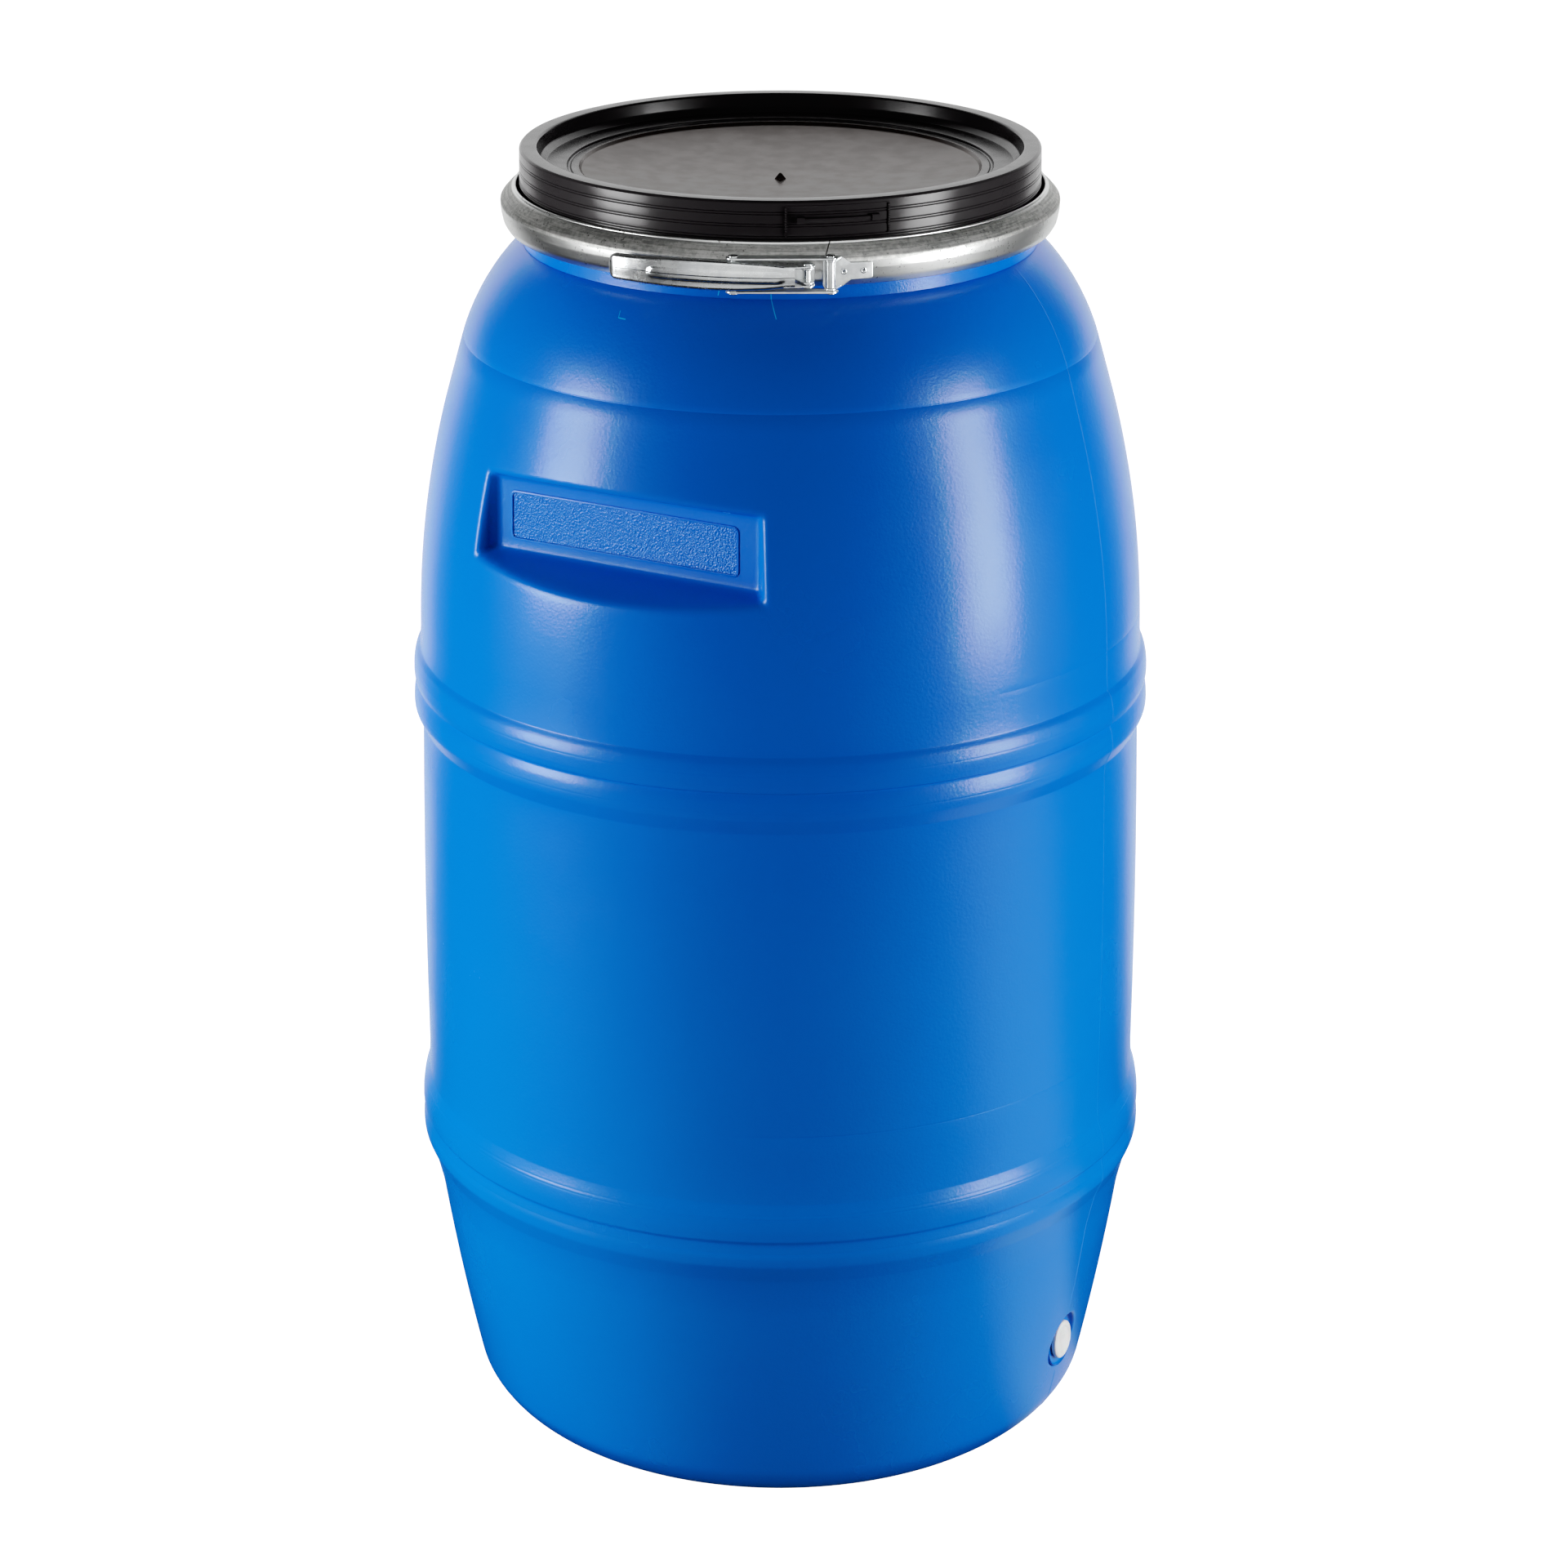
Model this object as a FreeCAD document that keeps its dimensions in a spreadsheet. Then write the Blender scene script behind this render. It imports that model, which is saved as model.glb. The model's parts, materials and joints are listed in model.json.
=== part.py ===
import FreeCAD, Part
import math
import os
import Sketcher

# Open-head plastic drum with a lid held by a lever-lock closure ring.
# Millimetres and degrees. +Z is up and the origin is the centre of the foot.
# The hand grips face -Y and +Y, and the drain plug is on the +X side.

Vector = FreeCAD.Vector
UP = Vector(0, 0, 1)
PARTS_FOLDER = "parts"

SIZES = {
    # drum: radii and heights of the blown outline, from the foot up
    "shell_wall": 4.5,
    "base_rise": 14,
    "base_panel_radius": 186,
    "foot_inner_radius": 205,
    "foot_radius": 222,
    "heel_radius": 245,
    "heel_height": 23,
    "heel_mid_radius": 236.5,
    "heel_mid_height": 10.5,
    "low_wall_mid_radius": 263.4,
    "low_wall_mid_height": 103,
    "low_wall_radius": 276.5,
    "low_wall_height": 172,
    "waist_radius": 285.4,
    "waist_height": 276,
    "body_radius": 288.5,
    "body_height": 540,
    "low_hoop_radius": 290.8,
    "low_hoop_foot": 218,
    "low_hoop_groove": 229,
    "low_hoop_top": 250,
    "top_hoop_radius": 295.6,
    "top_hoop_foot": 566,
    "top_hoop_groove": 580.7,
    "top_hoop_top": 600,
    "hoop_flank_rise": 10,
    "hoop_flank_drop": 3.6,
    "hoop_groove_half": 2.2,
    "hoop_groove_depth": 1.6,
    "upper_wall_radius": 290,
    "upper_wall_foot": 622,
    "upper_wall_mid_radius": 285.8,
    "upper_wall_mid_height": 711,
    "upper_wall_top_radius": 269,
    "upper_wall_top": 806,
    "shoulder_radius": 254.8,
    "shoulder_height": 860,
    "dome_mid_radius": 240,
    "dome_mid_height": 891.5,
    "dome_top_radius": 218,
    "dome_top": 920,
    "collar_sweep_radius": 210.3,
    "collar_sweep_height": 927.5,
    "collar_radius": 206.5,
    "collar_foot": 936.5,
    # neck flange and rim, under the lid
    "flange_radius": 216,
    "flange_underside": 951,
    "flange_top": 960,
    "neck_radius": 200.5,
    "mouth_radius": 195.6,
    "neck_foot": 938,
    "rim_height": 1003,
    # hand grips: a flat panel pressed into the barrel
    "grip_distance": 240,
    "grip_half_width": 116,
    "grip_reach": 60,
    "grip_end_draft": 45,
    "grip_foot_draft": 16,
    "grip_top_draft": 17,
    "grip_foot": 728,
    "grip_top": 786,
    "grip_frame_half_width": 99,
    "grip_frame_foot": 736.5,
    "grip_frame_top": 775.5,
    "grip_frame_bar": 1.6,
    "grip_frame_proud": 0.8,
    # drain plug
    "plug_height": 71.7,
    "plug_recess_radius": 20.5,
    "plug_recess_floor": 252.5,
    "plug_boss_radius": 24.5,
    "plug_boss_back": 246.5,
    "plug_head_radius": 14.5,
    "plug_head_thickness": 4.2,
    "plug_head_edge": 1.2,
    "plug_stem_radius": 10,
    "plug_stem_length": 15,
    "plug_stem_nose_radius": 8.4,
    "plug_hole_clearance": 0.08,
    "washer_radius": 13.4,
    "washer_thickness": 1.2,
    # lid
    "lid_height": 1012.8,
    "lid_thickness": 3.2,
    "lid_rim_radius": 206.6,
    "lid_rim_inner_radius": 194.6,
    "lid_rim_edge": 1.6,
    "lid_wall_foot_radius": 189.3,
    "lid_ledge_height": 998.1,
    "lid_ledge_radius": 170.5,
    "lid_ledge_drop": 1.2,
    "lid_disc_radius": 159,
    "lid_disc_height": 993.2,
    "lid_disc_flat_radius": 30,
    "lid_disc_mid_radius": 95,
    "lid_disc_mid_height": 986.4,
    "lid_disc_centre_height": 983,
    "lid_step_radius": 161.5,
    "lid_step_height": 995.8,
    "lid_skirt_flare": 0.9,
    "lid_skirt_foot": 977,
    "lid_lip_radius": 216,
    "lid_lip_top": 970.5,
    "lid_lip_foot": 961.5,
    "lid_groove_depth": 0.7,
    "lid_groove_half": 1,
    "lid_groove_low": 984.6,
    "lid_groove_mid": 993.9,
    "lid_groove_high": 1003.2,
    "gasket_inner_radius": 198.2,
    "gasket_radius": 203.1,
    "seal_bar_radius": 210.2,
    "seal_bar_foot": 996.3,
    "seal_bar_top": 1000,
    "seal_bar_sweep": 17.5,
    "seal_rib_radius": 208.8,
    "seal_rib_foot": 986,
    "seal_rib_top": 1007,
    "seal_rib_sweep": 0.5,
    "seal_panel_sweep": 22,
    "seal_panel_azimuth": 2.9,
    # closure ring, a rolled strip with a V-shaped section
    "ring_steel": 1.4,
    "ring_mouth_radius": 211.2,
    "ring_top": 982,
    "ring_radius": 224,
    "ring_bend_height": 968.6,
    "ring_web_foot_radius": 222.6,
    "ring_web_foot": 951.2,
    "ring_lip_height": 947.6,
    "ring_lip_bend_radius": 219,
    "ring_lip_radius": 211,
    "ring_gap": 0.7,
    # lever-lock fittings, as azimuths either side of the ring's gap
    "closure_turn": 38.2,
    "closure_height": 961.8,
    "lever_pivot_radius": 234,
    "lever_pivot_azimuth": -4.15,
    "link_pivot_radius": 233,
    "link_pivot_azimuth": -17.9,
    "catch_pivot_radius": 233,
    "catch_pivot_azimuth": 0.1,
    "fitting_steel": 1.5,
    "fitting_gap": 0.15,
    "bracket_back_radius": 224.2,
    "ear_reach": 4.6,
    "lever_bracket_half_height": 6.2,
    "lever_bracket_start": -15.5,
    "lever_bracket_end": -2.6,
    "lever_ear_sweep": 3,
    "catch_bracket_half_height": 11.7,
    "catch_bracket_start": 0.5,
    "catch_bracket_end": 4,
    "catch_tongue_half_height": 6.4,
    "catch_tongue_end": 8.8,
    "catch_ear_sweep": 2.4,
    "lever_face_radius": 241.6,
    "lever_flange_radius": 226.4,
    "lever_tip_azimuth": -43.4,
    "lever_face_end_azimuth": -6.6,
    "lever_tip_half_height": 9.8,
    "lever_belly_half_height": 11.3,
    "lever_root_half_height": 7.95,
    "lever_root_reach": 5.5,
    "minus_tip_reach": -175,
    "minus_belly_reach": -74,
    "minus_root_reach": -26,
    "lever_bead_start": -36.5,
    "lever_bead_end": -9.5,
    "lever_bead_half_height": 3,
    "lever_bead_proud": 0.9,
    "strap_half_width": 6,
    "strap_steel": 1.6,
    "strap_inner_half_gap": 11.95,
    "pin_radius": 2.4,
    "pin_clearance": 0.05,
    "pin_head_radius": 4,
    "pin_head_height": 1.8,
    "rivet_radius": 1.6,
    "rivet_head_radius": 2.3,
    "rivet_head_height": 0.9,
}

doc = FreeCAD.newDocument("open_head_drum")
sheet = doc.addObject("Spreadsheet::Sheet", "Sizes")


def fill_sheet():
    """Writes every driving dimension into the sheet under its own alias."""
    for row, (name, size) in enumerate(SIZES.items(), start=1):
        sheet.set("A%d" % row, name)
        sheet.set("B%d" % row, str(size))
        sheet.setAlias("B%d" % row, name)
    doc.recompute()


def number(formula):
    """The value of a sum such as 'neck_radius - shell_wall'."""
    total = 0.0
    sign = 1
    for word in formula.split():
        if word in ("+", "-"):
            sign = 1 if word == "+" else -1
        else:
            total += sign * float(SIZES.get(word, word))
    return total


def minus(formula):
    """The same sum with every sign changed."""
    swapped = {"+": "-", "-": "+"}
    return "0 - " + " ".join(swapped.get(word, word) for word in formula.split())


def bound(formula):
    """The same sum, as an expression that reads the sheet."""
    words = ["Sizes." + word if word in SIZES else word for word in formula.split()]
    return " ".join(words)


def origin_plane(body, role):
    for feature in body.Origin.OriginFeatures:
        if feature.Role == role:
            return feature
    raise RuntimeError("no origin plane " + role)


def pin_point(sketch, geometry, vertex, across, along):
    """Ties a sketch point to the origin with two dimensions bound to the sheet."""
    for kind, axis, formula in (("DistanceX", -2, across), ("DistanceY", -1, along)):
        if formula == "0":
            sketch.addConstraint(Sketcher.Constraint("PointOnObject", geometry, vertex, axis))
            continue
        distance = Sketcher.Constraint(kind, -1, 1, geometry, vertex, number(formula))
        index = sketch.addConstraint(distance)
        sketch.setExpression("Constraints[%d]" % index, bound(formula))


def outline_sketch(body, name, role, outline):
    """A closed outline. A point is (across, along); a third item makes it the middle of an arc."""
    sketch = body.newObject("Sketcher::SketchObject", name)
    sketch.AttachmentSupport = (origin_plane(body, role), [""])
    sketch.MapMode = "FlatFace"
    corners = [index for index, point in enumerate(outline) if len(point) == 2]
    place = [Vector(number(point[0]), number(point[1]), 0) for point in outline]
    edges = []
    for here, after in zip(corners, corners[1:] + corners[:1]):
        start, end = place[here], place[after]
        if (after - here) % len(outline) == 1:
            edge = sketch.addGeometry(Part.LineSegment(start, end), False)
            edges.append((edge, 1, 2, here))
            continue
        middle = here + 1
        arc = Part.Arc(start, place[middle], end)
        edge = sketch.addGeometry(arc, False)
        begins_here = sketch.getPoint(edge, 1).distanceToPoint(start) < 0.001
        edges.append((edge, 1 if begins_here else 2, 2 if begins_here else 1, here))
        dot = sketch.addGeometry(Part.Point(place[middle]), True)
        pin_point(sketch, dot, 1, outline[middle][0], outline[middle][1])
        sketch.addConstraint(Sketcher.Constraint("PointOnObject", dot, 1, edge))
    for (edge, first, last, here), following in zip(edges, edges[1:] + edges[:1]):
        join = Sketcher.Constraint("Coincident", edge, last, following[0], following[1])
        sketch.addConstraint(join)
        pin_point(sketch, edge, first, outline[here][0], outline[here][1])
    return sketch


def revolved(label, outline, sweep="360"):
    """A Body turned about Z from an outline in the XZ plane, centred on +X when it is partial."""
    body = doc.addObject("PartDesign::Body", label)
    sketch = outline_sketch(body, label + "_outline", "XZ_Plane", outline)
    turn = body.newObject("PartDesign::Revolution", label + "_turn")
    turn.Profile = sketch
    turn.ReferenceAxis = (sketch, ["V_Axis"])
    turn.Midplane = sweep != "360"
    turn.Angle = number(sweep)
    turn.setExpression("Angle", bound(sweep))
    body.Tip = turn
    return body


def extruded(label, outline, role, length):
    """A Body padded both ways from an outline in one of its origin planes."""
    body = doc.addObject("PartDesign::Body", label)
    sketch = outline_sketch(body, label + "_outline", role, outline)
    pad = body.newObject("PartDesign::Pad", label + "_pad")
    pad.Profile = sketch
    pad.Midplane = True
    pad.Length = number(length)
    pad.setExpression("Length", bound(length))
    body.Tip = pad
    return body


def cylinder(label, radius, start, end, axis=UP):
    """A cylinder from start to end along an axis through the origin."""
    rod = doc.addObject("Part::Cylinder", label)
    rod.setExpression("Radius", bound(radius))
    rod.setExpression("Height", bound(end) + " - (" + bound(start) + ")")
    rod.Placement = FreeCAD.Placement(axis * number(start), FreeCAD.Rotation(UP, axis))
    return rod


def combined(kind, label, first, second):
    """A Part::Cut of two objects, or a Part::Common of them."""
    result = doc.addObject("Part::" + kind, label)
    result.Base = first
    result.Tool = second
    return result


def fused(label, shapes):
    result = doc.addObject("Part::MultiFuse", label)
    result.Shapes = shapes
    result.Refine = True
    return result


def turned(piece, azimuth):
    """Turns a piece about Z, on top of the place it already has."""
    spin = FreeCAD.Placement(Vector(), FreeCAD.Rotation(UP, azimuth))
    piece.Placement = spin.multiply(piece.Placement)
    return piece


def raised(piece, height):
    piece.Placement.Base.z = piece.Placement.Base.z + height
    return piece


def rectangle(left, right, low, high):
    return [(left, low), (right, low), (right, high), (left, high)]


def around(radius, azimuth):
    """A plan position, where azimuth 0 is -Y and positive goes towards +X."""
    angle = math.radians(azimuth)
    return Vector(radius * math.sin(angle), -radius * math.cos(angle), 0)


def arc_block(label, inner, outer, low, high, start, end):
    """A piece of a ring between two azimuths, which are numbers."""
    sweep_name = str(end - start)
    block = revolved(label, rectangle(inner, outer, low, high), sweep_name)
    return turned(block, (start + end) / 2 - 90)


# ---------------------------------------------------------------- drum shell

def hoop(radius, foot, groove, top, into):
    """The crest of one rolling hoop with its narrow groove, pulled in by the wall."""
    crest = radius + into
    return [
        (crest, foot),
        (crest, groove + " - hoop_groove_half"),
        (crest + " - hoop_groove_depth", groove),
        (crest, groove + " + hoop_groove_half"),
        (crest, top),
        (crest + " - 1", top + " + 6", "arc"),
        (crest + " - hoop_flank_drop", top + " + hoop_flank_rise"),
    ]


def barrel_wall(into):
    """The side wall from the heel to the top of the dome; into is '' or ' - shell_wall'."""
    wall = [
        ("heel_radius" + into, "heel_height"),
        ("low_wall_mid_radius" + into, "low_wall_mid_height", "arc"),
        ("low_wall_radius" + into, "low_wall_height"),
        ("low_hoop_radius - 8.6" + into, "low_hoop_foot - 26", "arc"),
        ("low_hoop_radius - 2.6" + into, "low_hoop_foot - 11"),
        ("low_hoop_radius - 0.7" + into, "low_hoop_foot - 6", "arc"),
    ]
    wall += hoop("low_hoop_radius", "low_hoop_foot", "low_hoop_groove", "low_hoop_top", into)
    wall += [
        ("waist_radius" + into, "waist_height"),
        ("body_radius" + into, "body_height"),
        ("top_hoop_radius - 5.6" + into, "top_hoop_foot - 16"),
        ("top_hoop_radius - 1.8" + into, "top_hoop_foot - 7", "arc"),
    ]
    wall += hoop("top_hoop_radius", "top_hoop_foot", "top_hoop_groove", "top_hoop_top", into)
    wall += [
        ("upper_wall_radius" + into, "upper_wall_foot"),
        ("upper_wall_mid_radius" + into, "upper_wall_mid_height", "arc"),
        ("upper_wall_top_radius" + into, "upper_wall_top"),
        ("shoulder_radius" + into, "shoulder_height"),
    ]
    return wall


def box(label, x, y, z, length, width, height):
    """A box from its low corner and its three sides, each a sum of named sizes."""
    block = doc.addObject("Part::Box", label)
    block.setExpression("Length", bound(length))
    block.setExpression("Width", bound(width))
    block.setExpression("Height", bound(height))
    block.setExpression("Placement.Base.x", bound(x))
    block.setExpression("Placement.Base.y", bound(y))
    block.setExpression("Placement.Base.z", bound(z))
    return block


def panel_offset(side, distance):
    """The distance of an XZ plane from the origin towards -Y, for the front or the rear grip."""
    return distance if side == "front" else minus(distance)


def offset_sketch(body, name, outline, distance):
    """An outline in an XZ plane that stands at a distance towards -Y."""
    sketch = outline_sketch(body, name, "XZ_Plane", outline)
    sketch.AttachmentOffset = FreeCAD.Placement(Vector(0, 0, number(distance)), FreeCAD.Rotation())
    sketch.setExpression("AttachmentOffset.Base.z", bound(distance))
    return sketch


def grip_block(side, label, grow):
    """The drafted block that presses a grip panel into the barrel; grow is '' or ' + shell_wall'."""
    shrink = grow.replace("+", "-")
    panel = rectangle("0 - grip_half_width" + shrink, "grip_half_width" + grow,
                      "grip_foot" + shrink, "grip_top" + grow)
    mouth = rectangle("0 - grip_half_width - grip_end_draft" + shrink,
                      "grip_half_width + grip_end_draft" + grow,
                      "grip_foot - grip_foot_draft" + shrink, "grip_top + grip_top_draft" + grow)
    body = doc.addObject("PartDesign::Body", side + label)
    near = offset_sketch(body, side + label + "_panel", panel,
                         panel_offset(side, "grip_distance" + shrink))
    far = offset_sketch(body, side + label + "_mouth", mouth,
                        panel_offset(side, "grip_distance + grip_reach" + shrink))
    loft = body.newObject("PartDesign::AdditiveLoft", side + label + "_loft")
    loft.Profile = near
    loft.Sections = [far]
    loft.Ruled = True
    body.Tip = loft
    return body


def grip_frame(side):
    """The plain raised frame on a grip panel."""
    bar = "grip_frame_bar"
    start = "0 - grip_distance - grip_frame_proud" if side == "front" else "grip_distance"
    outside = box(
        side + "_frame_outside",
        "0 - grip_frame_half_width",
        start,
        "grip_frame_foot",
        "grip_frame_half_width + grip_frame_half_width",
        "grip_frame_proud",
        "grip_frame_top - grip_frame_foot",
    )
    inside = box(
        side + "_frame_inside",
        "0 - grip_frame_half_width + " + bar,
        start,
        "grip_frame_foot + " + bar,
        "grip_frame_half_width + grip_frame_half_width - " + bar + " - " + bar,
        "grip_frame_proud",
        "grip_frame_top - grip_frame_foot - " + bar + " - " + bar,
    )
    return combined("Cut", side + "_frame", outside, inside)


def make_drum_shell():
    outside = revolved("drum_outside", [
        ("0", "base_rise"),
        ("base_panel_radius", "base_rise"),
        ("foot_inner_radius", "0"),
        ("foot_radius", "0"),
        ("heel_mid_radius", "heel_mid_height", "arc"),
    ] + barrel_wall("") + [
        ("dome_mid_radius", "dome_mid_height", "arc"),
        ("dome_top_radius", "dome_top"),
        ("collar_sweep_radius", "collar_sweep_height", "arc"),
        ("collar_radius", "collar_foot"),
        ("collar_radius", "flange_underside"),
        ("flange_radius", "flange_underside"),
        ("flange_radius", "flange_top"),
        ("neck_radius", "flange_top"),
        ("neck_radius", "rim_height"),
        ("0", "rim_height"),
    ])
    inside = revolved("drum_inside", [
        ("0", "base_rise + shell_wall"),
        ("base_panel_radius + 1", "base_rise + shell_wall"),
        ("foot_inner_radius + 2", "shell_wall"),
        ("foot_radius - 1", "shell_wall"),
        ("heel_mid_radius - 3.2", "heel_mid_height + 3.2", "arc"),
    ] + barrel_wall(" - shell_wall") + [
        ("dome_mid_radius - 3.6", "dome_mid_height - 3", "arc"),
        ("dome_top_radius - 3", "dome_top - 3.6"),
        ("mouth_radius + 7.5", "neck_foot - 10.5", "arc"),
        ("mouth_radius", "neck_foot"),
        ("mouth_radius", "rim_height + 10"),
        ("0", "rim_height + 10"),
    ])
    for side in ("front", "rear"):
        press = combined("Cut", side + "_grip_press", grip_block(side, "_grip", ""), grip_frame(side))
        outside = combined("Cut", side + "_pressed", outside, press)
        inside = combined("Cut", side + "_cavity", inside,
                          grip_block(side, "_grip_wall", " + shell_wall"))
    out = Vector(1, 0, 0)
    recess = raised(cylinder("plug_recess", "plug_recess_radius", "plug_recess_floor",
                             "plug_recess_floor + 40", out), SIZES["plug_height"])
    boss = raised(cylinder("plug_boss", "plug_boss_radius", "plug_boss_back",
                           "plug_boss_back + 40", out), SIZES["plug_height"])
    hole = raised(cylinder("plug_hole", "plug_stem_radius + plug_hole_clearance",
                           "plug_boss_back - 10", "plug_recess_floor + 10", out), SIZES["plug_height"])
    outside = combined("Cut", "recessed", outside, recess)
    inside = combined("Cut", "bossed_cavity", inside, boss)
    hollow = combined("Cut", "hollow_drum", outside, inside)
    return combined("Cut", "drum_shell", hollow, hole)


# ---------------------------------------------------------------- drain plug

def lie_on_plug_axis(piece):
    """Stands a piece turned about Z along +X at the plug's height."""
    along_x = FreeCAD.Rotation(UP, Vector(1, 0, 0))
    piece.Placement = FreeCAD.Placement(Vector(0, 0, SIZES["plug_height"]), along_x)
    return piece


def make_drain_plug():
    seat = "plug_recess_floor + washer_thickness"
    plug = revolved("drain_plug", [
        ("0", seat + " - plug_stem_length"),
        ("plug_stem_nose_radius", seat + " - plug_stem_length"),
        ("plug_stem_radius", seat + " - plug_stem_length + 3"),
        ("plug_stem_radius", seat),
        ("plug_head_radius", seat),
        ("plug_head_radius", seat + " + plug_head_thickness - plug_head_edge"),
        ("plug_head_radius - plug_head_edge", seat + " + plug_head_thickness"),
        ("0", seat + " + plug_head_thickness"),
    ])
    return lie_on_plug_axis(plug)


def make_plug_washer():
    washer = revolved("drain_plug_washer", rectangle(
        "plug_stem_radius + plug_hole_clearance", "washer_radius",
        "plug_recess_floor", "plug_recess_floor + washer_thickness"))
    return lie_on_plug_axis(washer)


# ---------------------------------------------------------------- lid

def skirt_groove(height):
    """One narrow groove round the lid's skirt, from below upwards."""
    return [
        ("lid_rim_radius", height + " - lid_groove_half"),
        ("lid_rim_radius - lid_groove_depth", height),
        ("lid_rim_radius", height + " + lid_groove_half"),
    ]


def make_lid():
    cap = revolved("lid_cap", [
        ("0", "lid_disc_centre_height - lid_thickness"),
        ("lid_disc_flat_radius", "lid_disc_centre_height - lid_thickness"),
        ("lid_disc_mid_radius", "lid_disc_mid_height - lid_thickness"),
        ("lid_disc_radius", "lid_disc_height - lid_thickness"),
        ("lid_step_radius", "lid_step_height - lid_thickness"),
        ("lid_wall_foot_radius + 2.2", "lid_ledge_height - lid_thickness"),
        ("lid_rim_inner_radius + 2.8", "lid_height - lid_thickness"),
        ("lid_rim_radius - lid_thickness", "lid_height - lid_thickness"),
        ("lid_rim_radius - lid_thickness", "lid_lip_foot"),
        ("lid_lip_radius", "lid_lip_foot"),
        ("lid_lip_radius", "lid_lip_top"),
        ("lid_rim_radius + lid_skirt_flare", "lid_skirt_foot"),
    ] + skirt_groove("lid_groove_low") + skirt_groove("lid_groove_mid")
      + skirt_groove("lid_groove_high") + [
        ("lid_rim_radius", "lid_height - lid_rim_edge"),
        ("lid_rim_radius - lid_rim_edge", "lid_height"),
        ("lid_rim_inner_radius + lid_rim_edge", "lid_height"),
        ("lid_rim_inner_radius", "lid_height - lid_rim_edge"),
        ("lid_wall_foot_radius", "lid_ledge_height"),
        ("lid_ledge_radius", "lid_ledge_height - lid_ledge_drop"),
        ("lid_ledge_radius - 0.8", "lid_step_height - lid_groove_depth"),
        ("lid_ledge_radius - 2.4", "lid_step_height - lid_groove_depth"),
        ("lid_ledge_radius - 3.2", "lid_step_height"),
        ("lid_step_radius", "lid_step_height"),
        ("lid_disc_radius", "lid_disc_height"),
        ("lid_disc_mid_radius", "lid_disc_mid_height"),
        ("lid_disc_flat_radius", "lid_disc_centre_height"),
        ("0", "lid_disc_centre_height"),
    ])
    middle = SIZES["closure_turn"] + SIZES["seal_panel_azimuth"]
    half = SIZES["seal_panel_sweep"] / 2
    pieces = [cap, turned(revolved("seal_bar", rectangle(
        "lid_rim_radius - 1", "seal_bar_radius", "seal_bar_foot", "seal_bar_top"),
        "seal_bar_sweep"), middle - 90)]
    for name, azimuth in (("seal_rib_left", middle - half), ("seal_rib_right", middle + half)):
        rib = revolved(name, rectangle("lid_rim_radius - 1", "seal_rib_radius",
                                       "seal_rib_foot", "seal_rib_top"), "seal_rib_sweep")
        pieces.append(turned(rib, azimuth - 90))
    return fused("lid", pieces)


def make_gasket():
    return revolved("lid_gasket", rectangle("gasket_inner_radius", "gasket_radius",
                                            "rim_height", "lid_height - lid_thickness"))


# ---------------------------------------------------------------- closure ring

def to_closure(piece):
    """Brings a piece drawn with the ring's gap facing -Y round to the gap's real azimuth."""
    return turned(piece, SIZES["closure_turn"])


def make_closure_ring():
    ring = revolved("closure_ring", [
        ("ring_mouth_radius", "ring_top"),
        ("ring_mouth_radius", "ring_top - ring_steel"),
        ("ring_radius - ring_steel - 0.6", "ring_bend_height - 0.6"),
        ("ring_web_foot_radius - ring_steel", "ring_web_foot"),
        ("ring_lip_bend_radius", "ring_lip_height + ring_steel"),
        ("ring_lip_radius", "ring_lip_height + ring_steel"),
        ("ring_lip_radius", "ring_lip_height"),
        ("ring_lip_bend_radius + 0.6", "ring_lip_height"),
        ("ring_web_foot_radius", "ring_web_foot - 0.6"),
        ("ring_radius", "ring_bend_height"),
    ], "360 - ring_gap")
    return to_closure(turned(ring, 90))


# ---------------------------------------------------------------- lever-lock fittings

PIVOTS = {
    "lever": around(SIZES["lever_pivot_radius"], SIZES["lever_pivot_azimuth"]),
    "link": around(SIZES["link_pivot_radius"], SIZES["link_pivot_azimuth"]),
    "catch": around(SIZES["catch_pivot_radius"], SIZES["catch_pivot_azimuth"]),
}


def at_pivot(piece, pivot):
    """Moves a piece drawn on the Z axis to a pivot, at the closure's mid height."""
    piece.Placement.Base = PIVOTS[pivot] + UP * SIZES["closure_height"]
    return piece


def bored(label, solid, pivot):
    """Bores a solid right through for the pin at a pivot."""
    bore = at_pivot(cylinder(label + "_bore", "pin_radius + pin_clearance", "0", "60"), pivot)
    bore.Placement.Base.z = -30
    return combined("Cut", label, solid, bore)


def lever_outline(spare):
    """The lever seen from the front, tapered both ways; spare is '' or ' - fitting_steel'."""
    stations = (
        ("minus_tip_reach", "lever_tip_half_height"),
        ("minus_belly_reach", "lever_belly_half_height"),
        ("minus_root_reach", "lever_root_half_height"),
        ("lever_root_reach", "lever_root_half_height"),
    )
    below = [(across, minus(half + spare)) for across, half in stations]
    above = [(across, half + spare) for across, half in reversed(stations)]
    return below + above


def channel_block(label, spare, face, start, end):
    """A curved block with the lever's front outline."""
    height = "lever_belly_half_height + 5"
    bend = arc_block(label + "_bend", "lever_flange_radius", face, minus(height), height, start, end)
    front = extruded(label + "_front", lever_outline(spare), "XZ_Plane", "560")
    return combined("Common", label, bend, front)


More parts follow.
